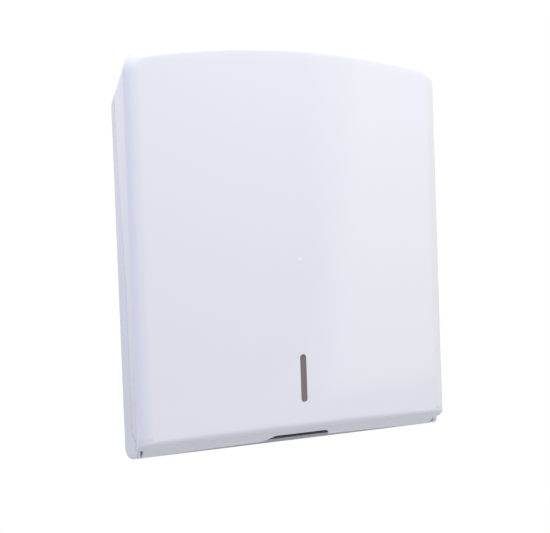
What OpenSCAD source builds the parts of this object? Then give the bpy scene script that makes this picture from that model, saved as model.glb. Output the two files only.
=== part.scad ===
// Wall dispenser for folded paper towels: a rear body that is screwed to the wall,
// and a front cover that turns down on two pins at its lower corners.
// The cover is held shut by a sprung latch behind a key slot in its top.
// Millimetres. The wall is the plane y = 0, the front faces -y and z is up.
// The origin is the centre of the wall screw pattern.

/* [Body] */
// Width at the wall
body_w = 280; // [250:1:310]
// Height from the bottom of the lip to the crest of the arched top
cover_h = 341; // [310:1:370]
// Rise of the arched top above its shoulders
arch_rise = 13; // [8:0.5:18]
// Depth from the wall to the middle of the front face
depth = 132; // [122:1:145]
// Bulge of the front face between its side edges
crown = 4; // [2:0.5:6]
// Taper of each side from the wall to the front
side_draft = 3.6; // [1.5:0.1:5]
// Radius of the top corners, seen from the front
corner_r = 22; // [18:1:28]
// Rounding of the front edge
edge_r = 13; // [10:0.5:15]
// Wall thickness of both mouldings
wall = 3; // [2.4:0.1:3.4]
// Drop of the rear body's bottom below the lip, at the wall
rear_drop = 26; // [22:0.5:28]
// Rounding of the bottom edge at the wall
foot_r = 6; // [6:0.5:14]
// Rounding of the rear body's lower side edges
bottom_edge_r = 6; // [6:0.5:10]
// Distance from the wall at which the bottom starts to rise
belly_y = 6; // [6:0.5:14]
// Radius of the rising bottom, seen from the side
belly_r = 60; // [40:1:80]

/* [Lip] */
// Depth of the sloping lip under the front face
lip_depth = 28; // [24:1:30]
// Height of the crease above the bottom of the lip
lip_rise = 20; // [17:0.5:24]
// Rounding of the crease between the front face and the lip
crease_r = 6; // [6:0.5:9]
// Rounding under the lip
lip_edge_r = 4; // [3.8:0.1:5]
// Width of the finger notch at the lip's edge
notch_w = 65; // [50:1:90]
// Width of the finger notch at its front
notch_front_w = 45; // [30:1:48]
// Depth of the finger notch
notch_depth = 12; // [8:0.5:14]

/* [Seam] */
// Distance of the seam from the wall at the top
seam_top = 36; // [30:1:40]
// Distance of the seam from the wall in the lower half
seam_low = 74; // [64:1:80]
// Height at which the seam starts to curve forward
seam_hi = 300; // [270:1:300]
// Height below which the seam runs straight down
seam_lo = 110; // [80:1:140]
// Gap between the two mouldings along the seam
seam_gap = 0.6; // [0.4:0.1:1]
// Thickness of the rim behind the seam
rim_t = 1.6; // [1.2:0.1:1.8]
// Reach of the rim past the seam
rim_reach = 4; // [2.5:0.5:6]
// Gap between the rim and the cover
rim_gap = 0.4; // [0.3:0.1:0.6]

/* [Hinge] */
// Distance of the hinge axis behind the middle of the front face
hinge_back = 30; // [29:0.5:33]
// Height of the hinge axis above the bottom of the lip
hinge_z = 7.5; // [7:0.1:9]
// Radius of the hinge ears and lugs
ear_r = 6.5; // [5.5:0.1:7]
// Radius of the hinge pins
pin_r = 2.5; // [2:0.1:3]
// Radial clearance of the pins in the ears
pin_clear = 0.05; // [0.02:0.01:0.1]
// Side gap between the ears and the lugs
hinge_gap = 0.5; // [0.3:0.1:0.8]
// Length of the lugs
lug_len = 14; // [11:0.5:20]
// Depth of the pin in the lug
pin_seat = 11; // [8:0.5:12]
// Length of the pin's tapered tip
pin_tip = 0.8; // [0.4:0.1:1.2]
// Recess of the pin's end below the ear's side
pin_inset = 0.3; // [0.2:0.1:0.8]
// Gap between the ears and the floor ledges
ledge_gap = 2; // [1.5:0.1:3]
// Gap between the ears and the slanting cut in the cover's corners
ear_room = 1.7; // [1.5:0.1:2.5]
// Slant of the cut in the cover's corners, which clears the bottom when the cover hangs down
cut_angle = 28; // [26:1:30]

/* [Sight slot] */
// Width of the slot
slot_w = 5.4; // [4:0.1:8]
// Length of the slot
slot_len = 40; // [30:1:60]
// Height of the slot's middle above the bottom of the lip
slot_z = 60; // [55:1:90]
// Clearance of the window in the slot
slot_clear = 0.1; // [0.05:0.01:0.2]
// Recess of the window below the front face
window_recess = 0.8; // [0.4:0.1:1.5]
// Thickness of the window's flange
window_t = 2; // [1.5:0.1:3]
// Margin of the window's flange beside the slot
window_side = 4; // [3.5:0.1:6]
// Margin of the window's flange past the stakes
window_end = 5; // [4:0.1:7]
// Radius of the two stakes that hold the window
stake_r = 1.5; // [1.2:0.1:1.8]
// Distance of the stakes from the slot's ends
stake_off = 5.5; // [5:0.1:7]
// Radius of the stakes' heads
stake_head_r = 2.7; // [2.3:0.1:3.2]
// Thickness of the stakes' heads
stake_head_t = 1; // [0.8:0.1:1.5]

/* [Mouth] */
// Width of the paper mouth
mouth_w = 200; // [170:1:220]
// Depth of the ledge behind the mouth
ledge = 48; // [40:1:56]
// Radius of the mouth's rear corners
mouth_r = 20; // [12:1:24]

/* [Wall fixing] */
// Distance between screw holes across
hole_dx = 180; // [140:1:190]
// Distance between screw holes upward
hole_dz = 200; // [160:1:210]
// Height of the pattern's centre above the bottom of the lip
mount_z = 170; // [155:1:180]
// Radius of the screw holes
hole_r = 2.75; // [2.25:0.05:3.5]
// Radius of the screw bosses
boss_r = 8; // [6.5:0.1:10]
// Height of the screw bosses
boss_h = 4; // [2.5:0.1:6]
// Thickness of the back panel
panel_t = 3; // [2.4:0.1:4]
// Height of the towel guide ribs
rib_h = 2.5; // [1.5:0.1:3.5]
// Thickness of the towel guide ribs
rib_t = 2; // [1.5:0.1:3]
// Distance of the inner ribs from the middle
rib_in = 25; // [18:1:32]
// Distance of the outer ribs from the middle
rib_out = 65; // [55:1:75]
// Gap between the ribs and the latch housing
rib_gap = 15; // [10:1:25]

/* [Latch] */
// Width of the latch
latch_w = 16; // [12:0.5:20]
// Travel of the latch
latch_travel = 5; // [4.5:0.1:6]
// Bite of the latch behind the catch
latch_bite = 4; // [3:0.1:4.2]
// Thickness of the latch's arm
arm_t = 4.5; // [3.5:0.1:5.5]
// Bevel under the front of the latch's arm
arm_bevel = 1.5; // [1:0.1:2]
// Gap between the latch's arm and the catch
arm_gap = 1; // [0.5:0.1:1.5]
// Gap between the latch's tooth and the inside of the top
tooth_gap = 4; // [3.5:0.1:5]
// Thickness of the latch's tooth
tooth_t = 4; // [3:0.1:5]
// Length of the ramp in front of the tooth
ramp_len = 5; // [4.5:0.1:6]
// Thickness of the catch
catch_t = 3; // [2.5:0.1:4]
// Distance of the catch from the rim
catch_set = 7; // [6:0.5:9]
// Gap between the catch and the tooth
bite_gap = 0.5; // [0.3:0.1:0.8]
// Depth of the catch's gussets
gusset_d = 4; // [3:0.1:5]
// Sliding clearance of the latch
slide_clear = 0.2; // [0.15:0.01:0.3]
// Length of the key slot
key_w = 14; // [10:0.5:16]
// Width of the key slot
key_t = 3; // [2:0.1:3.5]
// Thickness of the latch housing's walls
housing_wall = 4; // [3:0.1:5]
// Depth of the latch's stem
stem_d = 19; // [17:0.5:21]
// Height of the latch's stem below the arm
stem_h = 19; // [17:0.5:22]
// Width of the latch's guide wings
wing_w = 2.5; // [2:0.1:3]
// Height of the latch's guide wings
wing_h = 8; // [6:0.5:9]
// Depth of the latch's guide wings
wing_d = 6; // [5:0.5:7]
// Height of the spigot in the spring
spigot_h = 3; // [2:0.1:4]
// Length of the latch spring at rest
spring_len = 16; // [14:0.5:18]
// Mean radius of the latch spring
spring_r = 3.4; // [3:0.1:4]
// Wire diameter of the latch spring
spring_wire = 0.9; // [0.7:0.05:1]
// Turns of the latch spring
spring_turns = 5; // [4:1:6]
// Radius of the housing screws' shanks
screw_r = 1.5; // [1.2:0.1:1.8]
// Radius of the housing screws' heads
head_r = 3.3; // [2.8:0.1:4]
// Height of the housing screws' heads
head_h = 2.4; // [2:0.1:3]
// Radius of the bosses under the housing's flanges
screw_boss_r = 3.75; // [3:0.05:4.5]
// Height of the bosses under the housing's flanges
screw_boss_h = 6; // [5:0.1:8]
// Height of the screws above the housing's bottom
screw_up = 17; // [15:0.5:19]
// Width of the housing's flanges
flange_w = 11; // [10:0.5:13]
// Height of the housing's flanges
flange_h = 14; // [11:0.5:16]
// Thickness of the housing's flanges
flange_t = 3; // [2.5:0.1:4]

/* [Hidden] */
$fn = 48;
eps = 0.01;
far = 2 * (body_w + cover_h);
white = [0.92, 0.925, 0.945];
form_sides = 32;
rim_sides = 24;
crown_sides = 720;

// The front outline: an arched top with round corners
front_hw = body_w / 2 - side_draft;
arch_r = (front_hw * front_hw + arch_rise * arch_rise) / (2 * arch_rise);
arch_z = cover_h - arch_r;
corner_steps = 4;
arch_steps = 10;
function half_w(y) = body_w / 2 + side_draft * y / (depth - edge_r);
function corner_z(hw) = arch_z + sqrt(pow(arch_r - corner_r, 2) - pow(hw - corner_r, 2));
function corner_end(hw) = atan2(corner_z(hw) - arch_z, hw - corner_r);
function corner_points(hw, inset) = [for (k = [0:corner_steps])
    let (a = corner_end(hw) * k / corner_steps)
    [hw - corner_r + (corner_r - inset) * cos(a), corner_z(hw) + (corner_r - inset) * sin(a)]];
function arch_points(hw, inset) = [for (k = [1:arch_steps - 1])
    let (a = corner_end(hw) + (180 - 2 * corner_end(hw)) * k / arch_steps)
    [(arch_r - inset) * cos(a), arch_z + (arch_r - inset) * sin(a)]];
function top_points(hw, inset) = concat(corner_points(hw, inset), arch_points(hw, inset),
    [for (k = [corner_steps:-1:0]) let (p = corner_points(hw, inset)[k]) [-p[0], p[1]]]);

// The front face is part of a wide upright cylinder, and the lip slopes back under it
crown_r = (front_hw * front_hw + crown * crown) / (2 * crown);
edge_y = crown - depth;
lip_angle = atan(lip_rise / lip_depth);
crease_steps = 8;
rim_x = front_hw - edge_r;
function ball_y(x) = crown_r - depth - sqrt(pow(crown_r - edge_r, 2) - x * x);
function crease_z(y) = lip_rise - (y - edge_y) * tan(lip_angle) + crease_r / cos(lip_angle);
function crease_point(x, y) = [x, y, crease_z(y)];
lip_y = edge_y + lip_depth + lip_edge_r * tan(lip_angle / 2);

// The bottom leaves the wall level, turns up along an arc and runs straight to the lip
back_edge = 0.5;
belly_steps = 4;
belly_turn = 20;
function belly_point(k) = let (a = belly_turn * k / belly_steps, r = belly_r - bottom_edge_r)
    [-belly_y - r * sin(a), belly_r - rear_drop - r * cos(a)];

// The seam between the mouldings, seen from the side
seam_steps = 12;
function seam_y(z) = let (s = min(1, max(0, (z - seam_lo) / (seam_hi - seam_lo))))
    -seam_low + (seam_low - seam_top) * (1 - cos(180 * s)) / 2;
hinge_y = hinge_back - depth;
ear_top = hinge_z + ear_r;
ear_in = half_w(hinge_y - ear_r) - wall;
lug_out = ear_in - hinge_gap;
ledge_front = hinge_y + ear_r + ledge_gap;
lip_end_top = crease_z(edge_y);
end_w = body_w / 2 - lug_out + wall;
cut_top = ear_top + seam_gap;
function cut_y(z) = hinge_y - (ear_r + ear_room - (z - hinge_z) * cos(cut_angle)) / sin(cut_angle);
function cut_z(y) = hinge_z + (ear_r + ear_room + (y - hinge_y) * sin(cut_angle)) / cos(cut_angle);

// The latch hangs below the inside of the arched top
top_in = cover_h - wall;
tooth_top = top_in - tooth_gap;
catch_bottom = tooth_top - latch_bite;
arm_top = catch_bottom - arm_gap;
arm_bottom = arm_top - arm_t;
stop_gap = 0.5;
housing_top = arm_bottom - latch_travel - stop_gap;
catch_y = seam_top + seam_gap + rim_reach + catch_set + catch_t;
catch_side = 1;
gusset_t = 2;
tooth_y = catch_y + bite_gap;
stem_bottom = arm_bottom - stem_h;
stem_back = -panel_t - slide_clear;
spring_bottom = stem_bottom - spring_len;
spring_y = stem_back - stem_d / 2;
housing_bottom = spring_bottom - housing_wall;
channel_hw = latch_w / 2 + slide_clear;
wing_top = stem_bottom + wing_h;
wing_room = 1;
spigot_gap = 0.5;
spigot_r = spring_r - spring_wire / 2 - spigot_gap;
flange_y = -panel_t - screw_boss_h;
housing_hw = channel_hw + wing_w + slide_clear + housing_wall;
screw_x = housing_hw + flange_w / 2;
screw_z = housing_bottom + screw_up;
screw_clear = 0.1;
screw_end = 0.5;
cross_w = 0.4 * screw_r;
stake_z = slot_len / 2 + stake_off;
window_y = wall + slot_clear - depth;

// Puts the origin at the wall mount
module placed() translate([0, 0, -mount_z]) children();

// An outline in the side view, with points [y, z], carried across the width
module side_prism(points, width) rotate([90, 0, 90]) linear_extrude(width, center = true) polygon(points);

// A round bar across the width
module cross_bar(r, width) rotate([0, 90, 0]) cylinder(r = r, h = width, center = true);

// A round bar along the depth, starting at the origin and running to the front
module depth_bar(r, length) rotate([90, 0, 0]) cylinder(r = r, h = length);

// A long hole with round ends, upright, running to the front from the origin
module upright_slot(width, length, run) rotate([90, 0, 0]) linear_extrude(run) {
    square([width, length - width], center = true);
    for (s = [-1, 1]) translate([0, s * (length - width) / 2]) circle(d = width);
}

// A ball whose poles lie along the depth
module ball(r) rotate([90, 0, 0]) sphere(r);

// Centres along the crease: across the front, and round each upright edge in steps of the balls' rings
function crease_points(turns) = let (reach = edge_r - crease_r) concat(
    [for (k = [0:crease_steps]) let (x = rim_x * (2 * k / crease_steps - 1))
        crease_point(x, ball_y(x) - reach)],
    [for (s = [-1, 1]) for (k = [0:turns - 1]) let (a = 90 * (k + 0.5) / turns)
        crease_point(s * (rim_x + reach * sin(a)), ball_y(rim_x) - reach * cos(a))]);

// The closed outer form of the whole dispenser, moved inward by inset
module form(inset, back) hull() {
    for (p = top_points(front_hw, edge_r))
        translate([p[0], ball_y(p[0]), p[1]]) ball(edge_r - inset);
    for (p = crease_points($fn / 4)) translate(p) ball(crease_r - inset);
    for (s = [-1, 1]) {
        if (lip_edge_r > inset)
            translate([s * (half_w(lip_y) - lip_edge_r), lip_y, lip_edge_r]) ball(lip_edge_r - inset);
        for (k = [0:belly_steps]) let (p = belly_point(k))
            translate([s * (half_w(p[0]) - bottom_edge_r), p[0], p[1]]) ball(bottom_edge_r - inset);
        translate([s * (half_w(-foot_r) - foot_r), -foot_r, foot_r - rear_drop]) ball(foot_r - inset);
    }
    translate([0, -back, 0]) rotate([90, 0, 0]) linear_extrude(back_edge)
        polygon(concat([[body_w / 2 - inset, foot_r - rear_drop]], top_points(body_w / 2, inset),
            [[inset - body_w / 2, foot_r - rear_drop]]));
}

// A skin of the form between two depths below its surface
module skin(outer, inner) difference() {
    form(outer, outer > 0 ? panel_t : 0);
    form(inner, panel_t);
}

// Points of the seam from the ear up, moved forward by shift
function seam_points(low, shift) = [for (k = [0:seam_steps + 1])
    let (z = k > seam_steps ? cover_h + far : low + (seam_hi - low) * k / seam_steps)
    [seam_y(z) - shift, z]];

// A strip along the seam, from one distance in front of it to another
module seam_strip(low, back, front) side_prism(concat(seam_points(low, front),
    [for (k = [seam_steps + 1:-1:0]) seam_points(low, back)[k]]), far);

// The space of the rear body in the side view, with its hinge ears
module rear_space() {
    side_prism(concat([[hinge_y, -far], [hinge_y, ear_top]], seam_points(ear_top, 0),
        [[far, cover_h + far], [far, -far]]), far);
    translate([0, hinge_y, hinge_z]) cross_bar(ear_r, far);
}

// The space of the cover in the side view
module cover_space() side_prism(concat([[-far, -far], [ledge_front, -far],
    [ledge_front, cut_top]], seam_points(cut_top, seam_gap), [[-far, cover_h + far]]), far);

// The room for the hinge ears beside the lip's ends
module ear_cuts() for (s = [-1, 1]) translate([s * (lug_out + far / 2), 0, 0])
    side_prism([[-depth, -far], [far, -far], [far, cut_top], [cut_y(cut_top), cut_top],
        [-depth, cut_z(-depth)]], far);

// The paper mouth, open to the front
module mouth() translate([0, 0, -far]) linear_extrude(far + ear_top) {
    translate([-mouth_w / 2 + mouth_r, -far - ledge]) square([mouth_w - 2 * mouth_r, far]);
    translate([-mouth_w / 2, -far - ledge - mouth_r]) square([mouth_w, far]);
    for (s = [-1, 1]) translate([s * (mouth_w / 2 - mouth_r), -ledge - mouth_r]) circle(mouth_r);
}

module rear_body() color(white) placed() difference() {
    union() {
        intersection() {
            skin(0, wall, $fn = form_sides);
            rear_space();
        }
        intersection() {
            skin(wall - rim_gap, wall + rim_gap + rim_t, $fn = rim_sides);
            seam_strip(ear_top + rim_reach, -rim_reach, 0);
        }
        intersection() {
            skin(wall + rim_gap, wall + rim_gap + rim_t, $fn = rim_sides);
            seam_strip(ear_top + rim_reach, -eps, rim_reach);
        }
        wall_bosses();
        guide_ribs();
        for (s = [-1, 1]) translate([s * screw_x, -panel_t + eps, screw_z])
            depth_bar(screw_boss_r, screw_boss_h + eps);
    }
    translate([-ear_in, -far, -far]) cube([2 * ear_in, far + ledge_front, far + ear_top]);
    mouth();
    translate([0, hinge_y, hinge_z]) cross_bar(pin_r + pin_clear, far);
    for (sx = [-1, 1]) for (sz = [-1, 1])
        translate([sx * hole_dx / 2, panel_t, mount_z + sz * hole_dz / 2])
            depth_bar(hole_r, depth / 2);
    for (s = [-1, 1]) translate([s * screw_x, -panel_t, screw_z])
        depth_bar(screw_r + screw_clear, depth / 2);
}

// Raised seats for the wall screws
module wall_bosses() for (sx = [-1, 1]) for (sz = [-1, 1])
    translate([sx * hole_dx / 2, -panel_t + eps, mount_z + sz * hole_dz / 2])
        depth_bar(boss_r, boss_h + eps);

// Upright ribs on the back panel that the towels slide on
module guide_ribs() for (x = [-rib_out, -rib_in, rib_in, rib_out])
    translate([x - rib_t / 2, -panel_t - rib_h, 0])
        cube([rib_t, rib_h + eps, housing_bottom - rib_gap]);

module front_cover() color(white) placed() difference() {
    union() {
        difference() {
            intersection() {
                skin(0, wall, $fn = form_sides);
                cover_space();
            }
            translate([0, crown_r - depth + lip_depth, -far])
                cylinder(r = crown_r, h = far + ear_top, $fn = crown_sides);
        }
        lip_ends();
        catch();
        stakes();
    }
    ear_cuts();
    for (s = [-1, 1]) translate([s * (lug_out - pin_seat / 2), hinge_y, hinge_z])
        cross_bar(pin_r, pin_seat + eps);
    finger_notch();
    translate([0, window_y, slot_z]) upright_slot(slot_w, slot_len, 2 * wall);
    translate([-key_w / 2, -tooth_y - tooth_t / 2 - key_t / 2, tooth_top])
        cube([key_w, key_t, cover_h]);
}

// End walls that close the lip and fill the cover's lower corners, with the lugs for the hinge pins
module lip_ends() intersection() {
    form(0, 0, $fn = form_sides);
    for (s = [-1, 1]) {
        translate([s * (lug_out - wall + end_w / 2), 0, 0]) side_prism([[-depth, 0], [hinge_y, 0],
            [hinge_y, ear_top], [edge_y + edge_r, lip_end_top], [-depth, lip_end_top]], end_w);
        translate([s * (lug_out - lug_len / 2), hinge_y, hinge_z]) cross_bar(ear_r, lug_len);
    }
}

// Hanging rib that the latch bites behind, with two gussets
module catch() {
    root = top_in + wall / 2;
    back = catch_t - catch_y;
    translate([-latch_w / 2 - catch_side, -catch_y, catch_bottom])
        cube([latch_w + 2 * catch_side, catch_t, root - catch_bottom]);
    for (s = [-1, 1]) translate([s * (latch_w / 2 + catch_side - gusset_t / 2), 0, 0])
        side_prism([[back - eps, catch_bottom + latch_bite / 2], [back - eps, root],
            [back + gusset_d, root], [back + gusset_d, top_in - wall / 2]], gusset_t);
}

// Stakes that are melted over behind the window's flange
module stakes() for (s = [-1, 1]) translate([0, window_y + window_t + stake_head_t, slot_z + s * stake_z]) {
    depth_bar(stake_r, stake_head_t + window_t + wall / 2);
    depth_bar(stake_head_r, stake_head_t);
}

// Finger notch in the edge of the lip
module finger_notch() translate([0, lip_depth - depth, -far]) linear_extrude(far + ear_top)
    polygon([[-notch_w / 2, 0], [-notch_front_w / 2, -notch_depth], [notch_front_w / 2, -notch_depth],
        [notch_w / 2, 0], [notch_w / 2, lip_depth], [-notch_w / 2, lip_depth]]);

module sight_window() color([0.36, 0.33, 0.33]) placed() difference() {
    union() {
        translate([0, window_y + window_t, slot_z])
            upright_slot(slot_w + 2 * window_side, 2 * (stake_z + window_end), window_t);
        translate([0, window_y + eps, slot_z])
            upright_slot(slot_w - 2 * slot_clear, slot_len - 2 * slot_clear,
                wall + slot_clear + eps - window_recess);
    }
    for (s = [-1, 1]) translate([0, depth, slot_z + s * stake_z])
        depth_bar(stake_r + slot_clear, 2 * depth);
}

// A hinge pin on the right, from just inside the ear's outer face into the lug
module hinge_pin() {
    inner = lug_out - pin_seat;
    translate([inner, hinge_y, hinge_z]) rotate([0, 90, 0]) {
        cylinder(r1 = pin_r - pin_tip, r2 = pin_r, h = pin_tip);
        translate([0, 0, pin_tip]) cylinder(r = pin_r, h = half_w(hinge_y) - pin_inset - inner - pin_tip);
    }
}

module hinge_pin_left() color(white) placed() mirror([1, 0, 0]) hinge_pin();
module hinge_pin_right() color(white) placed() hinge_pin();

module latch_housing() color([0.78, 0.79, 0.81]) placed() difference() {
    front_in = stem_back - stem_d - slide_clear;
    wing_hw = channel_hw + wing_w + slide_clear;
    union() {
        translate([-housing_hw, front_in - housing_wall, housing_bottom])
            cube([2 * housing_hw, housing_wall - front_in - panel_t, housing_top - housing_bottom]);
        translate([-housing_hw - flange_w, flange_y - flange_t, screw_z - flange_h / 2])
            cube([2 * (housing_hw + flange_w), flange_t, flange_h]);
    }
    translate([-channel_hw, front_in, spring_bottom]) cube([2 * channel_hw, far, housing_top]);
    translate([-wing_hw, spring_y - wing_d / 2 - slide_clear, wing_top - wing_h - latch_travel - wing_room])
        cube([2 * wing_hw, far, wing_h + latch_travel + wing_room + slide_clear]);
    for (s = [-1, 1]) translate([s * screw_x, 0, screw_z]) depth_bar(screw_r + screw_clear, depth);
}

module latch_slide() color([0.7, 0.72, 0.75]) placed() {
    tip = -tooth_y - tooth_t - ramp_len;
    translate([-latch_w / 2, stem_back - stem_d, stem_bottom])
        cube([latch_w, stem_d - slide_clear, arm_top - stem_bottom]);
    side_prism([[stem_back - stem_d + eps, arm_bottom], [stem_back - stem_d + eps, arm_top],
        [-tooth_y, arm_top], [-tooth_y, tooth_top], [-tooth_y - tooth_t, tooth_top], [tip, arm_top],
        [tip, arm_bottom + arm_bevel], [tip + arm_bevel, arm_bottom]], latch_w);
    translate([-latch_w / 2 - wing_w, spring_y - wing_d / 2, wing_top - wing_h])
        cube([latch_w + 2 * wing_w, wing_d, wing_h]);
    translate([0, spring_y, stem_bottom - spigot_h]) cylinder(r = spigot_r, h = spigot_h + eps);
}

// The wire's path: a straight foot, the turns, and a straight end
ring_sides = 6;
rings_per_turn = 8;
spring_lead = 0.5 * spring_wire;
function spring_rise(t) = spring_wire + spring_lead
    + (spring_len - 2 * spring_wire - 2 * spring_lead) * t;
spring_path = concat([[spring_r, 0, 0], [spring_r, 0, spring_wire]],
    [for (k = [1:rings_per_turn * spring_turns - 1]) let (t = k / (rings_per_turn * spring_turns))
        [spring_r * cos(360 * spring_turns * t), spring_r * sin(360 * spring_turns * t), spring_rise(t)]],
    [[spring_r, 0, spring_len - spring_wire], [spring_r, 0, spring_len]]);
spring_last = len(spring_path) - 1;
function unit(v) = v / norm(v);
function path_way(k) = k == 0 || k == spring_last ? [0, 0, 1]
    : unit(spring_path[k + 1] - spring_path[k - 1]);
function path_out(k) = let (p = spring_path[k]) unit([p[0], p[1], 0]);
function wire_ring(k) = let (w = path_way(k), a = unit(path_out(k) - w * (path_out(k) * w)), b = cross(w, a))
    [for (s = [0:ring_sides - 1]) spring_path[k]
        + spring_wire / 2 * (a * cos(360 * s / ring_sides) + b * sin(360 * s / ring_sides))];

// Least clear distance between neighbouring turns, taken between points of the path
spring_gap = min([for (i = [0:spring_last - 5]) for (j = [i + 5:spring_last])
    norm(spring_path[i] - spring_path[j])]) - spring_wire;

module latch_spring() {
    echo(least_spring_gap = spring_gap);
    points = [for (k = [0:spring_last]) each wire_ring(k)];
    caps = [for (s = [1:ring_sides - 2]) each [[0, s, s + 1],
        [spring_last * ring_sides, spring_last * ring_sides + s + 1, spring_last * ring_sides + s]]];
    sides = [for (k = [0:spring_last - 1]) for (s = [0:ring_sides - 1])
        let (n = (s + 1) % ring_sides, a = k * ring_sides, b = a + ring_sides)
        each [[a + s, b + s, b + n], [a + s, b + n, a + n]]];
    color("silver") placed() translate([0, spring_y, spring_bottom])
        polyhedron(points, concat(caps, sides));
}

module housing_screws() color("gainsboro") placed() for (s = [-1, 1])
    translate([s * screw_x, flange_y - flange_t, screw_z]) {
        mirror([0, 1, 0]) depth_bar(screw_r, flange_t + screw_boss_h - screw_end);
        difference() {
            depth_bar(head_r, head_h);
            for (a = [0, 90]) rotate([0, a, 0]) translate([-cross_w / 2, -far - head_h / 2, -head_r / 2])
                cube([cross_w, far, head_r]);
        }
    }

rear_body();
front_cover();
sight_window();
hinge_pin_left();
hinge_pin_right();
latch_housing();
latch_slide();
latch_spring();
housing_screws();
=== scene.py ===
"""Looks of a wall-mounted dispenser for folded paper towels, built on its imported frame.

The two moulded shells are parametric sheets with the real wall thickness. Lengths are in
millimetres with x to the right, y = 0 on the wall, the front towards -y and z = 0 at the bottom
of the cover's lip, and they become metres in the shared frame only when a mesh is made.
"""

import logging
import math
from dataclasses import dataclass, field
from enum import Enum
from typing import Dict, List, Optional, Sequence, Tuple, Union

import bmesh
import bpy
import numpy as np
from mathutils import Matrix, Vector


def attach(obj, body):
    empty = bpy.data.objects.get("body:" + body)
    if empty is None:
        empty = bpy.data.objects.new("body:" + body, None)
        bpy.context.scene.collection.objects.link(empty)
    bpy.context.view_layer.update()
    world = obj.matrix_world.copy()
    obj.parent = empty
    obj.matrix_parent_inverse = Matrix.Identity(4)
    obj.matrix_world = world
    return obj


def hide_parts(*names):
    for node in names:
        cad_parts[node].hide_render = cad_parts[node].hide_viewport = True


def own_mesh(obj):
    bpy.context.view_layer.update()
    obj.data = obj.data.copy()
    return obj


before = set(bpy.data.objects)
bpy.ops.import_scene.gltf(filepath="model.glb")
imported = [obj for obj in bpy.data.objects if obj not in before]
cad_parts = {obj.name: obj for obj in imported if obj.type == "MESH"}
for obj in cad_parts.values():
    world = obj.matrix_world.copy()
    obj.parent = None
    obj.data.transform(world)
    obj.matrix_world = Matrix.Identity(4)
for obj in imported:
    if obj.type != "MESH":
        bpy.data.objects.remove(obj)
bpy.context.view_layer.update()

MM = 0.001  # metres in a millimetre
MOUNT_Z = 170.0  # height of the wall screws' centre, the frame's origin
MERGE = 0.02  # distance within which points are merged
CLOSE = 0.01  # allowance when a point is found by its place
QUARTER_TURN = math.pi / 2.0
HALF_TURN = math.pi
FULL_TURN = 2.0 * math.pi
ROUND_STEPS = 40
SMALL_STEPS = 28
LOG = logging.getLogger("dispenser")


class Body(Enum):
    """Bodies of the frame that new pieces ride on."""

    REAR = "rear"
    COVER = "cover"


class Slot(Enum):
    """Material slots of the record that new pieces take."""

    COVER = "cover_plastic"
    REAR = "rear_plastic"
    SPRING = "spring_steel"
    SCREW = "screw_steel"


def unit(vectors: np.ndarray) -> np.ndarray:
    """Scale vectors to length one.

    Args:
        vectors: Array whose last axis holds the vector.

    Returns:
        The array of unit vectors.
    """
    return vectors / np.linalg.norm(vectors, axis=-1, keepdims=True)


def slerp(start: np.ndarray, end: np.ndarray, share: np.ndarray) -> np.ndarray:
    """Turn unit vectors along the great circle from start to end.

    Args:
        start: Unit vectors at share 0.
        end: Unit vectors at share 1.
        share: Shares of the angle, broadcast against the vectors without their last axis.

    Returns:
        Unit vectors, sin((1-t)a)/sin(a) of the start plus sin(ta)/sin(a) of the end.
    """
    angle = np.arccos(np.clip(np.sum(start * end, axis=-1), -1.0, 1.0))
    angle = np.maximum(angle, 1e-6)
    first = np.sin((1.0 - share) * angle) / np.sin(angle)
    second = np.sin(share * angle) / np.sin(angle)
    return unit(first[..., None] * start + second[..., None] * end)


def ease(value: np.ndarray, start: float, end: float) -> np.ndarray:
    """Rise smoothly from 0 at start to 1 at end, level at both, as 3 t^2 - 2 t^3.

    Args:
        value: Values.
        start: Value that gives 0.
        end: Value that gives 1.

    Returns:
        Shares from 0 to 1.
    """
    share = np.clip((value - start) / (end - start), 0.0, 1.0)
    return share * share * (3.0 - 2.0 * share)


class Sheet:
    """Collects grids of points into one sheet of quads whose shared edges are merged."""

    def __init__(self, inside: Sequence[float]) -> None:
        """Start an empty sheet.

        Args:
            inside: Local point that every face looks away from.
        """
        self.inside = np.array(inside, dtype=float)
        self.points: List[np.ndarray] = []
        self.faces: List[np.ndarray] = []
        self.count = 0

    def grid(self, points: np.ndarray, keep: Optional[np.ndarray] = None) -> None:
        """Add a grid of points as quads.

        Args:
            points: Array of rows, columns and 3 coordinates.
            keep: Optional mask of the cells that stay, one smaller than the grid each way.
        """
        rows, cols = points.shape[:2]
        index = np.arange(rows * cols).reshape(rows, cols) + self.count
        quads = np.stack(
            [index[:-1, :-1], index[1:, :-1], index[1:, 1:], index[:-1, 1:]], axis=-1)
        along = points[1:, :-1] - points[:-1, :-1]
        across = points[:-1, 1:] - points[:-1, :-1]
        outward = np.sum(np.cross(along, across) * (points[:-1, :-1] - self.inside))
        if outward < 0.0:
            quads = quads[..., ::-1]
        cells = np.ones((rows - 1, cols - 1), dtype=bool) if keep is None else keep
        self.points.append(points.reshape(-1, 3))
        self.faces.append(quads[cells])
        self.count += rows * cols

    def half(self) -> bmesh.types.BMesh:
        """Make a mesh of the collected grids.

        Returns:
            A bmesh in local millimetres with doubles merged.
        """
        mesh = bpy.data.meshes.new("half")
        mesh.from_pydata(np.concatenate(self.points).tolist(), [],
                         np.concatenate(self.faces).tolist())
        work = bmesh.new()
        work.from_mesh(mesh)
        bpy.data.meshes.remove(mesh)
        bmesh.ops.remove_doubles(work, verts=work.verts, dist=MERGE)
        return work


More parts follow.
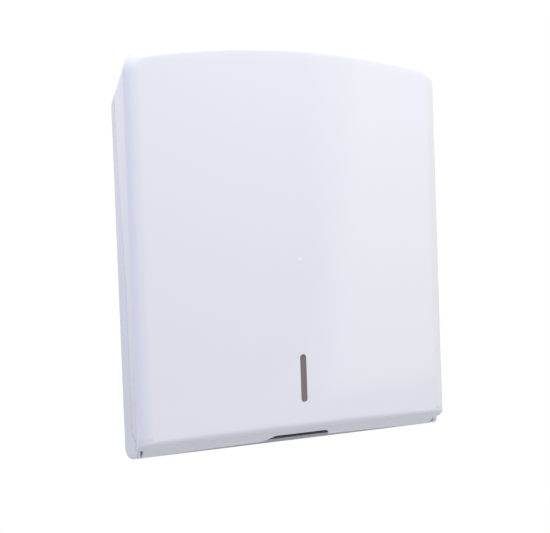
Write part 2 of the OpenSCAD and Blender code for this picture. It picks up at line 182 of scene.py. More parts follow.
def mirror(work: bmesh.types.BMesh) -> None:
    """Add the left half of a right half in place, joined at x = 0.

    Args:
        work: Mesh of the half with x at or above zero.
    """
    twin = bmesh.ops.duplicate(work, geom=work.verts[:] + work.edges[:] + work.faces[:])["geom"]
    verts = [item for item in twin if isinstance(item, bmesh.types.BMVert)]
    faces = [item for item in twin if isinstance(item, bmesh.types.BMFace)]
    bmesh.ops.scale(work, vec=Vector((-1.0, 1.0, 1.0)), verts=verts)
    bmesh.ops.reverse_faces(work, faces=faces)
    bmesh.ops.remove_doubles(work, verts=work.verts, dist=MERGE)


@dataclass
class Piece:
    """One named mesh object that rides on a body and may stand for nodes of the frame."""

    name: str
    body: Body
    slot: Slot
    material: bpy.types.Material
    replaced: Tuple[str, ...] = ()

    def from_bmesh(self, work: bmesh.types.BMesh, closed: bool = False) -> bpy.types.Object:
        """Make the object from a mesh in local millimetres.

        Args:
            work: Mesh, which is freed.
            closed: Whether the faces of a closed form are turned outward first.

        Returns:
            The object, placed and riding on its body.
        """
        if closed:
            bmesh.ops.recalc_face_normals(work, faces=work.faces)
        bmesh.ops.scale(work, vec=Vector((MM, MM, MM)), verts=work.verts)
        bmesh.ops.translate(work, vec=Vector((0.0, 0.0, -MOUNT_Z * MM)), verts=work.verts)
        mesh = bpy.data.meshes.new(self.name)
        work.to_mesh(mesh)
        work.free()
        mesh.polygons.foreach_set("use_smooth", np.ones(len(mesh.polygons), dtype=bool))
        mesh.materials.append(self.material)
        made = bpy.data.objects.new(self.name, mesh)
        bpy.context.collection.objects.link(made)
        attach(made, self.body.value)
        if self.replaced:
            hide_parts(*self.replaced)
        LOG.info("%s: %d faces on %s", self.name, len(mesh.polygons), self.body.value)
        return made

    def from_grids(self, grids: Sequence[np.ndarray]) -> bpy.types.Object:
        """Make the object from grids that close into solid forms.

        Args:
            grids: Arrays of rows, columns and 3 local coordinates.

        Returns:
            The object, placed and riding on its body.
        """
        sheet = Sheet((0.0, 0.0, 0.0))
        for points in grids:
            sheet.grid(points)
        return self.from_bmesh(sheet.half(), closed=True)


def lathe(profile: Sequence[Tuple[float, float]], steps: int, origin: Sequence[float],
          axis: int) -> np.ndarray:
    """Turn a profile round an axis.

    Each point of radius r and height h goes to r cos(a) and r sin(a) across the axis and to h
    along it, for a full turn of a.

    Args:
        profile: Pairs of radius and height, closed on the axis or on itself.
        steps: Number of steps round the turn.
        origin: Local point that the heights count from.
        axis: Index of the coordinate that the axis runs along.

    Returns:
        Grid of the turned surface.
    """
    outline = np.array(profile, dtype=float)
    turn = np.linspace(0.0, FULL_TURN, steps + 1)
    across = [index for index in range(3) if index != axis]
    points = np.zeros((len(outline), steps + 1, 3))
    points[..., across[0]] = outline[:, :1] * np.cos(turn)
    points[..., across[1]] = outline[:, :1] * np.sin(turn)
    points[..., axis] = outline[:, 1:]
    return points + np.array(origin, dtype=float)


def prism(outline: Sequence[Tuple[float, float]], start: float, end: float,
          axis: int) -> List[np.ndarray]:
    """Extrude a convex outline along an axis, with both ends closed by fans.

    Args:
        outline: Corner pairs in the order of the two other coordinates.
        start: First place along the axis.
        end: Last place along the axis.
        axis: Index of the coordinate that the prism runs along.

    Returns:
        Grids of the side, the first end and the second end.
    """
    ring = np.array(list(outline) + [outline[0]], dtype=float)
    centre = np.mean(ring[:-1], axis=0, keepdims=True)
    across = [index for index in range(3) if index != axis]

    def place(flat: np.ndarray, along: float) -> np.ndarray:
        """Points of a flat figure at one place along the axis."""
        spot = np.zeros((len(flat), 3))
        spot[:, across] = flat
        spot[:, axis] = along
        return spot

    hub = np.repeat(centre, len(ring), axis=0)
    return [np.stack([place(ring, start), place(ring, end)]),
            np.stack([place(hub, start), place(ring, start)]),
            np.stack([place(ring, end), place(hub, end)])]


@dataclass(frozen=True)
class Envelope:
    """Outer form that the cover and the rear body share."""

    width: float = 280.0
    height: float = 341.0
    arch_rise: float = 13.0
    depth: float = 132.0
    crown: float = 4.0
    draft: float = 3.6
    corner_r: float = 22.0
    edge_r: float = 13.0
    wall: float = 3.0
    lip_depth: float = 28.0
    lip_rise: float = 20.0
    lip_edge_r: float = 4.0
    crease_r: float = 8.0
    seam_top: float = 36.0
    seam_low: float = 74.0
    seam_hi: float = 300.0
    seam_lo: float = 110.0
    seam_gap: float = 1.8
    hinge_y: float = -102.0
    hinge_z: float = 7.5
    ear_r: float = 6.5
    ear_top: float = 14.0
    ear_in: float = 133.72
    lug_out: float = 131.92
    lip_end: Tuple[float, float] = (133.01, -98.72)
    inside: Tuple[float, float, float] = (0.0, -60.0, 170.0)

    @property
    def front_hw(self) -> float:
        """Half width at the front."""
        return self.width / 2.0 - self.draft

    @property
    def rim_x(self) -> float:
        """Reach of the centre of the front's rounded edge."""
        return self.front_hw - self.edge_r

    @property
    def arch_r(self) -> float:
        """Radius of the arched top."""
        return (self.front_hw ** 2 + self.arch_rise ** 2) / (2.0 * self.arch_rise)

    @property
    def arch_z(self) -> float:
        """Height of the arch's centre."""
        return self.height - self.arch_r

    @property
    def crown_r(self) -> float:
        """Radius of the bowed front."""
        return (self.front_hw ** 2 + self.crown ** 2) / (2.0 * self.crown)

    @property
    def tilt(self) -> float:
        """Angle of the sides' draft."""
        return math.atan2(self.draft, self.depth - self.edge_r)

    @property
    def lip_angle(self) -> float:
        """Slope of the lip under the front."""
        return math.atan2(self.lip_rise, self.lip_depth)

    @property
    def lip_normal(self) -> np.ndarray:
        """Outward normal of the lip's sloping plane."""
        return np.array([0.0, -math.sin(self.lip_angle), -math.cos(self.lip_angle)])

    def bow(self, x: np.ndarray) -> np.ndarray:
        """Depth of the front's surface at x, a circle of the crown radius."""
        return self.crown_r - self.depth - np.sqrt(self.crown_r ** 2 - x ** 2)

    def rim_y(self, x: np.ndarray) -> np.ndarray:
        """Depth of the rounded edge's centre line, edge_r inside the bowed front."""
        inner = self.crown_r - self.edge_r
        return self.crown_r - self.depth - np.sqrt(inner ** 2 - x ** 2)

    def front_normal(self, x: np.ndarray) -> np.ndarray:
        """Outward normal of the bowed front over the edge's centre at x."""
        sine = x / (self.crown_r - self.edge_r)
        return np.stack([sine, -np.sqrt(1.0 - sine ** 2), np.zeros_like(sine)], axis=-1)

    def crease(self, x: np.ndarray, normal: np.ndarray, radius: np.ndarray) -> np.ndarray:
        """Find the centres of the crease's rounding, where the upright faces meet the lip.

        They lie one radius inside both the upright face and the sloping plane of the lip.

        Args:
            x: Reach of the upright edge's centre.
            normal: Level outward normals of the upright face.
            radius: Radii of the rounding.

        Returns:
            Points of the centre line.
        """
        foot = np.stack([x, self.rim_y(x), np.zeros_like(x)], axis=-1)
        centre = foot + (self.edge_r - radius)[..., None] * normal
        slope = math.tan(self.lip_angle)
        plane = self.lip_rise - (centre[..., 1] - self.crown + self.depth) * slope
        centre[..., 2] = plane + radius / math.cos(self.lip_angle)
        return centre

    def corner(self, half_width: float) -> Tuple[float, float]:
        """Find a top corner's centre, corner_r inside both the side and the arch.

        Args:
            half_width: Half width of the outline.

        Returns:
            Height of the centre, and the angle where the corner's arc meets the arch.
        """
        reach = half_width - self.corner_r
        height = self.arch_z + math.sqrt((self.arch_r - self.corner_r) ** 2 - reach ** 2)
        return height, math.atan2(height - self.arch_z, reach)

    def top(self, half_width: float, inset: float, corner_t: np.ndarray,
            arch_t: np.ndarray) -> Tuple[np.ndarray, np.ndarray]:
        """Follow the outline over the right corner and up the arch to the middle.

        Args:
            half_width: Half width of the outline.
            inset: Distance that the line lies inside the outline.
            corner_t: Shares of the corner's arc.
            arch_t: Shares of the arch's arc from the corner to the middle.

        Returns:
            Pairs of x and z, and the pairs of the outward normal.
        """
        height, end = self.corner(half_width)
        first = end * corner_t
        second = end + (QUARTER_TURN - end) * arch_t
        angle = np.concatenate([first, second])
        normal = np.stack([np.cos(angle), np.sin(angle)], axis=-1)
        radius = np.concatenate([np.full_like(first, self.corner_r - inset),
                                 np.full_like(second, self.arch_r - inset)])
        centre = np.concatenate([
            np.tile([half_width - self.corner_r, height], (len(first), 1)),
            np.tile([0.0, self.arch_z], (len(second), 1))])
        return centre + radius[:, None] * normal, normal

    def seam(self, z: np.ndarray) -> np.ndarray:
        """Run the seam between the shells, half a cosine wave from seam_lo to seam_hi.

        Args:
            z: Heights.

        Returns:
            Depths of the seam.
        """
        share = np.clip((z - self.seam_lo) / (self.seam_hi - self.seam_lo), 0.0, 1.0)
        blend = (1.0 - np.cos(HALF_TURN * share)) / 2.0
        return -(self.seam_low + (self.seam_top - self.seam_low) * blend)

    def side_start(self) -> np.ndarray:
        """Point, at height zero, where the rounded front edge runs out into the side wall."""
        centre = np.array([self.rim_x, float(self.rim_y(np.array(self.rim_x))), 0.0])
        return centre + self.edge_r * self.side_normal()

    def side_normal(self) -> np.ndarray:
        """Outward normal of the right side wall."""
        return np.array([math.cos(self.tilt), -math.sin(self.tilt), 0.0])

    def side_x(self, y: np.ndarray) -> np.ndarray:
        """Half width of the side wall at depth y, a straight draft from front to wall."""
        start = self.side_start()
        return start[0] + (self.width / 2.0 - start[0]) * (y - start[1]) / (0.0 - start[1])


@dataclass(frozen=True)
class Fixings:
    """Holes for the wall screws, and the screws that hold the latch's housing."""

    hole_r: float = 2.75
    hole_dx: float = 90.0
    hole_dz: float = 100.0
    screw_r: float = 1.5
    screw_x: float = 20.4
    screw_z: float = 302.5


@dataclass
class Columns:
    """Shared columns of the right half's sheets, from the middle to the corner."""

    form: Envelope
    key_half: float = 7.0
    notch: Tuple[float, float] = (22.5, 32.5)
    key_cols: int = 4
    run_cols: Tuple[int, int, int] = (5, 4, 18)
    corner_steps: int = 14
    corner_t: np.ndarray = field(init=False)
    arch_t: np.ndarray = field(init=False)
    x: np.ndarray = field(init=False)
    top_z: np.ndarray = field(init=False)

    def __post_init__(self) -> None:
        """Work out the shares of the corner and of the arch, so that each named x is a column."""
        inset = self.form.edge_r
        _, end = self.form.corner(self.form.front_hw)
        join = (self.form.arch_r - inset) * math.cos(end)
        stops = (self.key_half, *self.notch, join)
        runs = [np.linspace(*run)[1:] for run in zip(stops[:-1], stops[1:], self.run_cols)]
        inner = np.concatenate([np.linspace(0.0, self.key_half, self.key_cols), *runs])[:-1]
        angle = np.arccos(inner[::-1] / (self.form.arch_r - inset))
        self.corner_t = np.linspace(0.0, 1.0, self.corner_steps + 1)
        self.arch_t = (angle - end) / (QUARTER_TURN - end)
        line, _ = self.form.top(self.form.front_hw, inset, self.corner_t, self.arch_t)
        self.x = line[::-1, 0]
        self.top_z = line[::-1, 1]


class Wall:
    """Lines of the drafted wall from the rounded front edge back to the wall plane."""

    def __init__(self, form: Envelope, columns: Columns, side_z: np.ndarray) -> None:
        """Lay out the loop from the lowest side point over the corner to the middle of the top.

        Args:
            form: Outer form.
            columns: Shared columns over the top.
            side_z: Rising heights of the side's lines, ending where the corner begins.
        """
        self.form = form
        front, normal = form.top(form.front_hw, form.edge_r, columns.corner_t, columns.arch_t)
        back, _ = form.top(form.width / 2.0, 0.0, columns.corner_t, columns.arch_t)
        count = len(side_z)
        rim_x = np.full(count, form.rim_x)
        self.centre = np.concatenate([
            np.stack([rim_x, form.rim_y(rim_x), side_z], axis=-1),
            np.stack([front[1:, 0], form.rim_y(front[1:, 0]), front[1:, 1]], axis=-1)])
        flat = np.concatenate([np.tile([1.0, 0.0], (count, 1)), normal[1:]])
        tilt = form.tilt
        self.normal = unit(np.stack([flat[:, 0] * math.cos(tilt), -flat[:, 0] * math.sin(tilt),
                                     flat[:, 1]], axis=-1))
        self.front = self.centre + form.edge_r * self.normal
        side_back = np.stack([np.full(count, form.width / 2.0), np.zeros(count), side_z], axis=-1)
        side_back[-1, 2] = back[0, 1]
        top_back = np.stack([back[1:, 0], np.zeros(len(back) - 1), back[1:, 1]], axis=-1)
        self.back = np.concatenate([side_back, top_back])
        self.seam = form.seam(self.centre[:, 2])

    def at(self, y: np.ndarray) -> np.ndarray:
        """Points of the wall's lines at given depths.

        Args:
            y: Depths, with one column for each line of the loop.

        Returns:
            Grid of points, each line straight from its front point to its back point.
        """
        share = (y - self.front[:, 1]) / (self.back[:, 1] - self.front[:, 1])
        return self.front + share[..., None] * (self.back - self.front)


@dataclass
class CoverShell:
    """Hinged front cover: bowed front, rounded edges, drafted sides and lip in one sheet."""

    form: Envelope
    columns: Columns
    slot_half: float = 2.7
    slot_low: float = 40.0
    slot_high: float = 80.0
    slot_margin: float = 6.0
    slot_step: float = 2.0
    slot_rings: Tuple[float, ...] = (0.0, 0.15, 0.4, 0.7, 1.0)
    key_y: Tuple[float, float] = (-54.6, -51.6)
    key_rows: int = 8
    notch_depth: float = 16.5
    roll: Tuple[float, float] = (5.5, -8.8)
    end_roll: Tuple[float, float] = (-3.8, 0.5)
    end_x: Tuple[float, float] = (80.0, 97.0)
    ear_x: Tuple[float, float] = (129.0, 132.0)
    rear_half: Tuple[float, float] = (0.9, 0.6)
    roll_fade: Tuple[float, float] = (4.2, 11.0)
    edge_steps: int = 12
    foot_rows: int = 4
    face_rows: int = 16
    head_rows: int = 7
    seam_rows: int = 4
    lip_rows: int = 13
    end_cols: int = 4
    even_z: float = 50.0
    ear_room: float = 1.7
    cut_angle: float = 28.0
    past_end: float = 1.06
    side_crease_r: float = 1.5
    soft_edge: float = 0.5

    def __post_init__(self) -> None:
        """Start the sheet of the right half."""
        self.sheet = Sheet(self.form.inside)
        self.turn = np.linspace(0.0, 1.0, self.edge_steps + 1)
        self.lip_normal = self.form.lip_normal

    def add(self, points: np.ndarray, keep: Optional[np.ndarray] = None) -> None:
        """Add a grid to the sheet, with its foot sunk so that the lip rolls under.

        The sink is a parabola over the lip's depth, nothing at the rear edge. It flattens toward
        the ends, which swing past the rear's ledges, and its rear half ends beside the ears. It
        fades out on the upright faces over the heights of roll_fade above the lip's plane.

        Args:
            points: Grid of points.
            keep: Mask of the faces that are made, or none for all.
        """
        form = self.form
        x, y, z = np.moveaxis(points, -1, 0)
        left = 1.0 - np.clip((y - form.bow(x)) / form.lip_depth, 0.0, 1.0)
        above = z - form.lip_rise + (y - form.crown + form.depth) * math.tan(form.lip_angle)
        end = ease(np.abs(x), *self.end_x)
        bend, run = (first + end * (last - first) for first, last in zip(self.roll, self.end_roll))
        sink = (bend * left ** 2 + run * left) * (1.0 - ease(above, *self.roll_fade))
        sink = sink * (1.0 - ease(np.abs(x), *self.ear_x) * ease(left, *self.rear_half))
        self.sheet.grid(np.stack([x, y, z + sink], axis=-1), keep)

    @property
    def opening(self) -> Tuple[float, float]:
        """Lower and upper height of the opening that the slot's ring fills."""
        return self.slot_low - self.slot_margin, self.slot_high + self.slot_margin

    def rows(self) -> np.ndarray:
        """Heights of the front's grid, from the crease over the lip to the rounded top."""
        x = self.columns.x
        low, high = self.opening
        radius = np.full(len(x), self.form.crease_r)
        crease = self.form.crease(x, self.form.front_normal(x), radius)[:, 2]
        count = int(round((high - low) / self.slot_step)) + 1
        flat = np.concatenate([np.linspace(low, high, count)[:-1],
                               np.linspace(high, self.form.seam_hi, self.face_rows)[:-1]])
        foot = crease + (low - crease) * np.linspace(0.0, 1.0, self.foot_rows)[:-1, None]
        head_t = np.linspace(0.0, 1.0, self.head_rows)[:, None]
        head = self.form.seam_hi + (self.columns.top_z - self.form.seam_hi) * head_t
        return np.concatenate([foot, np.repeat(flat[:, None], len(x), axis=1), head])

    def front(self, z: np.ndarray) -> None:
        """Add the bowed front, y on a circle of the crown radius, open round the sight slot.

        Args:
            z: Heights of the grid.
        """
        x = self.columns.x * self.form.crown_r / (self.form.crown_r - self.form.edge_r)
        x = np.broadcast_to(x, z.shape)
        points = np.stack([x, self.form.bow(x), z], axis=-1)
        low, high = self.opening
        middle = (z[:-1, :-1] + z[1:, 1:]) / 2.0
        near = self.columns.x[1:] < self.columns.key_half + CLOSE
        keep = ~(near[None, :] & (middle > low) & (middle < high))
        self.add(points, keep)
        self.slot_ring(points[:, :self.columns.key_cols])

    def slot_ring(self, points: np.ndarray) -> None:
        """Add the ring from the slot's rounded outline to the opening left in the front.

        Args:
            points: First columns of the front's grid.
        """
        low, high = self.opening
        height = points[:, 0, 2]
        rows = np.flatnonzero((height > low - CLOSE) & (height < high + CLOSE))
        edge = np.concatenate([points[rows[0], :-1], points[rows, -1], points[rows[-1], -2::-1]])
        bend = (len(points[0]) - 1) + int(round(self.slot_margin / self.slot_step))
        arc = np.linspace(0.0, QUARTER_TURN, bend + 1)
        r = self.slot_half
        straight = np.linspace(self.slot_low + r, self.slot_high - r, len(edge) - 2 * bend)
        x = np.concatenate([r * np.sin(arc[:-1]), np.full(len(straight), r), r * np.cos(arc[1:])])
        z = np.concatenate([self.slot_low + r - r * np.cos(arc[:-1]), straight,
                            self.slot_high - r + r * np.sin(arc[1:])])
        inner = np.stack([x, self.form.bow(x), z], axis=-1)
        share = np.array(self.slot_rings)[:, None, None]
        ring = inner + share * (edge - inner)
        ring[..., 1] = self.form.bow(ring[..., 0])
        self.add(ring)

    def edge_and_wall(self, side_z: np.ndarray) -> Tuple[Wall, np.ndarray]:
        """Add the rounded front edge and the drafted wall back to the seam.

        The edge is an arc of edge_r from the front's normal to the wall's normal. Its lines run
        down to the crease, which falls round the corner, and the key's slot in the top is left
        open.

        Args:
            side_z: Heights of the front's last column.

        Returns:
            The wall's lines and the shares of depth of its rows.
        """
        low = self.corner_crease()[:, 2]
        share = np.clip((side_z - side_z[0]) / (self.even_z - side_z[0]), 0.0, 1.0)
        sunk = low[:, None] + (self.even_z - low[:, None]) * share
        height = np.where(side_z < self.even_z, sunk, side_z)
        wall = Wall(self.form, self.columns, height[-1])
        front = self.form.front_normal(wall.centre[:, 0])
        turned = slerp(front[None], wall.normal[None], self.turn[:, None])
        edge = wall.centre + self.form.edge_r * turned
        edge[:, :len(side_z), 2] = height
        self.add(edge)
        end = wall.seam - self.form.seam_gap
        crest = wall.front[-1, 1]
        key = [(y - crest) / (end[-1] - crest) for y in self.key_y]
        share = np.concatenate([np.linspace(0.0, key[0], self.key_rows), key[1:],
                                np.linspace(key[1], 1.0, self.seam_rows)[1:]])
        depth = wall.front[:, 1] + share[:, None] * (end - wall.front[:, 1])
        keep = np.ones((len(share) - 1, len(end) - 1), dtype=bool)
        keep[self.key_rows - 1, 1 - self.columns.key_cols:] = False
        self.add(wall.at(depth), keep)
        return wall, share

    def lip(self, reach: np.ndarray) -> None:
        """Add the crease's arc and the lip sloping back under it, drawn in at the finger notch.

        Args:
            reach: Shares of the lip's depth for its rows.
        """
        x = self.columns.x
        front = self.form.front_normal(x)
        centre = self.form.crease(x, front, np.full(len(x), self.form.crease_r))
        turned = slerp(front[None], self.lip_normal[None, None], self.turn[:, None])
        self.add(centre + self.form.crease_r * turned)
        self.add(self.lip_plane(centre + self.form.crease_r * self.lip_normal, reach))

    def lip_plane(self, start: np.ndarray, reach: np.ndarray) -> np.ndarray:
        """Run straight down the lip's slope from the crease to the lip's rear edge.

        Args:
            start: Points where the crease ends.
            reach: Shares of the run for the rows.

        Returns:
            Grid of points on the lip.
        """
        run = reach[:, None] * (self.lip_rear(start[:, 0]) - start[:, 1])
        drop = -run * math.tan(self.form.lip_angle)
        return start + np.stack([np.zeros_like(run), run, drop], axis=-1)

    def corner_normals(self) -> np.ndarray:
        """Level normals round the upright edge, from the front's to the side wall's."""
        front = self.form.front_normal(np.array(self.form.rim_x))
        return slerp(front, self.form.side_normal(), self.turn)

    def corner_radii(self) -> np.ndarray:
        """Radii of the crease round the upright edge, which sharpens toward the side."""
        share = ease(self.turn, 0.0, 1.0)
        return self.form.crease_r + share * (self.side_crease_r - self.form.crease_r)

    def corner_crease(self) -> np.ndarray:
        """Centres of the crease's rounding round the upright edge."""
        normals = self.corner_normals()
        reach = np.full(len(normals), self.form.rim_x)
        return self.form.crease(reach, normals, self.corner_radii())

    def lip_rear(self, x: np.ndarray) -> np.ndarray:
        """Run the lip's rear edge, parallel to the bowed front except at the notch.

        Args:
            x: Places across.

        Returns:
            Depths of the edge.
        """
        edge = self.form.bow(x) + self.form.lip_depth
        deep = self.form.bow(np.array(0.0)) + self.form.lip_depth - self.notch_depth
        share = ease(x, *self.columns.notch)
        return np.where(x < self.columns.notch[1], deep + (edge - deep) * share, edge)

    def lower_corner(self, wall: Wall, share: np.ndarray) -> np.ndarray:
        """Add the lower corner: the crease round it, a cone to the lip's end, lip and low side.

        Args:
            wall: The wall's lines.
            share: Shares of depth of the wall's rows.

        Returns:
            Shares of the lip's depth that its rows use.
        """
        form = self.form
        normals = self.corner_normals()
        radii = self.corner_radii()
        centres = self.corner_crease()
        ball = centres[-1]
        end = np.array([*form.lip_end, form.lip_edge_r])
        cone = self.around(normals[-1], self.lip_normal, unit(end - ball))
        bend = slerp(normals[:, None], self.lip_normal, self.turn[None, :])
        pull = (self.turn ** 2)[:, None, None]
        bend = unit((1.0 - pull) * bend + pull * cone[None])
        self.add(centres[:, None] + radii[:, None, None] * bend)
        reach = np.linspace(0.0, self.past_end, self.lip_rows)
        radius = radii[-1] + reach * (form.lip_edge_r - radii[-1])
        spine = ball + reach[:, None] * (end - ball)
        surface = spine[:, None] + radius[:, None, None] * cone[None]
        self.add(surface)
        low = surface[:, 0]
        depth = low[:, 1] + share[:, None] * (wall.seam[0] - form.seam_gap - low[:, 1])
        across = (depth - low[:, 1]) / (0.0 - low[:, 1])
        x = low[:, 0] + across * (form.width / 2.0 - low[:, 0])
        self.add(np.stack([x, depth, np.broadcast_to(low[:, 2], x.shape)], axis=-1))
        rows = reach / reach[-1]
        corner = self.lip_plane(centres + radii[:, None] * self.lip_normal, rows)
        self.add(corner)
        mix = np.linspace(0.0, 1.0, self.end_cols)[:, None, None]
        self.add(corner[:, -1] + mix * (surface[:, -1] - corner[:, -1]))
        return rows

    def around(self, start: np.ndarray, end: np.ndarray, axis: np.ndarray) -> np.ndarray:
        """Turn a normal about a cone's axis until it reaches another normal of the cone.

        Args:
            start: First unit normal.
            end: Last unit normal.
            axis: Unit axis of the cone.

        Returns:
            Unit normals for the steps of the rounded edge.
        """
        along = float(np.dot(start, axis))
        first = unit(start - along * axis)
        last = unit(end - float(np.dot(end, axis)) * axis)
        rise = along + self.turn * (float(np.dot(end, axis)) - along)
        flat = slerp(first[None], last[None], self.turn)
        return rise[:, None] * axis + np.sqrt(1.0 - rise ** 2)[:, None] * flat

    def trim(self, work: bmesh.types.BMesh) -> None:
        """Cut away the side round the hinge ear, level over it and slanting before it.

        Args:
            work: Mesh of the right half.
        """
        form = self.form
        top = form.ear_top + form.seam_gap
        slant = math.radians(self.cut_angle)
        across = Vector((0.0, -math.sin(slant), math.cos(slant)))
        corner = Vector((0.0, form.hinge_y, form.hinge_z)) + (form.ear_r + self.ear_room) * across
        planes = ((Vector((form.lug_out, 0.0, 0.0)), Vector((1.0, 0.0, 0.0))),
                  (Vector((0.0, 0.0, top)), Vector((0.0, 0.0, 1.0))), (corner, across))
        middle = bmesh.types.BMFace.calc_center_median
        for spot, normal in planes:
            near = [face for face in work.faces
                    if middle(face).z < 2.0 * top and middle(face).x > form.lug_out - top]
            geom = {item for face in near for item in (*face.verts, *face.edges, face)}
            bmesh.ops.bisect_plane(work, geom=list(geom), dist=0.001, plane_co=spot,
                                   plane_no=normal)
        gone = [face for face in work.faces
                if middle(face).x > form.lug_out and middle(face).z < top
                and (middle(face) - corner).dot(across) < 0.0]
        bmesh.ops.delete(work, geom=gone, context="FACES")

    def build(self, material: bpy.types.Material) -> bpy.types.Object:
        """Make the cover's shell.

        Args:
            material: Look of the moulding.

        Returns:
            The shell's object.
        """
        z = self.rows()
        self.front(z)
        wall, share = self.edge_and_wall(z[:, -1])
        self.lip(self.lower_corner(wall, share))
        work = self.sheet.half()
        self.trim(work)
        mirror(work)
        piece = Piece("cover_shell", Body.COVER, Slot.COVER, material, ("front_cover",))
        return thicken(piece.from_bmesh(work), self.form.wall, self.soft_edge)


def thicken(shell: bpy.types.Object, wall: float, edge: float) -> bpy.types.Object:
    """Give a sheet its wall thickness inward and soften its rims.

    Args:
        shell: Object of the sheet.
        wall: Thickness in millimetres.
        edge: Width of the softened rims in millimetres.

    Returns:
        The same object.
    """
    solid = shell.modifiers.new("wall", "SOLIDIFY")
    solid.thickness = wall * MM
    solid.offset = -1.0
    solid.use_even_offset = True
    solid.use_quality_normals = True
    return soften(shell, edge)


def soften(made: bpy.types.Object, edge: float, angle: float = 40.0) -> bpy.types.Object:
    """Round the sharp edges of a piece.

    Args:
        made: Object to soften.
        edge: Width of the rounding in millimetres.
        angle: Least angle in degrees between faces at a rounded edge.

    Returns:
        The same object.
    """
    bevel = made.modifiers.new("soft_edges", "BEVEL")
    bevel.width = edge * MM
    bevel.segments = 2
    bevel.limit_method = "ANGLE"
    bevel.angle_limit = math.radians(angle)
    bevel.harden_normals = False
    bevel.use_clamp_overlap = True
    return made


def even_normals(made: bpy.types.Object) -> bpy.types.Object:
    """Weigh a piece's normals by face area, so flat panels shade flat up to their rims.

    Args:
        made: Object to even out.

    Returns:
        The same object.
    """
    weigh = made.modifiers.new("even_normals", "WEIGHTED_NORMAL")
    weigh.mode = "FACE_AREA"
    weigh.keep_sharp = True
    return made


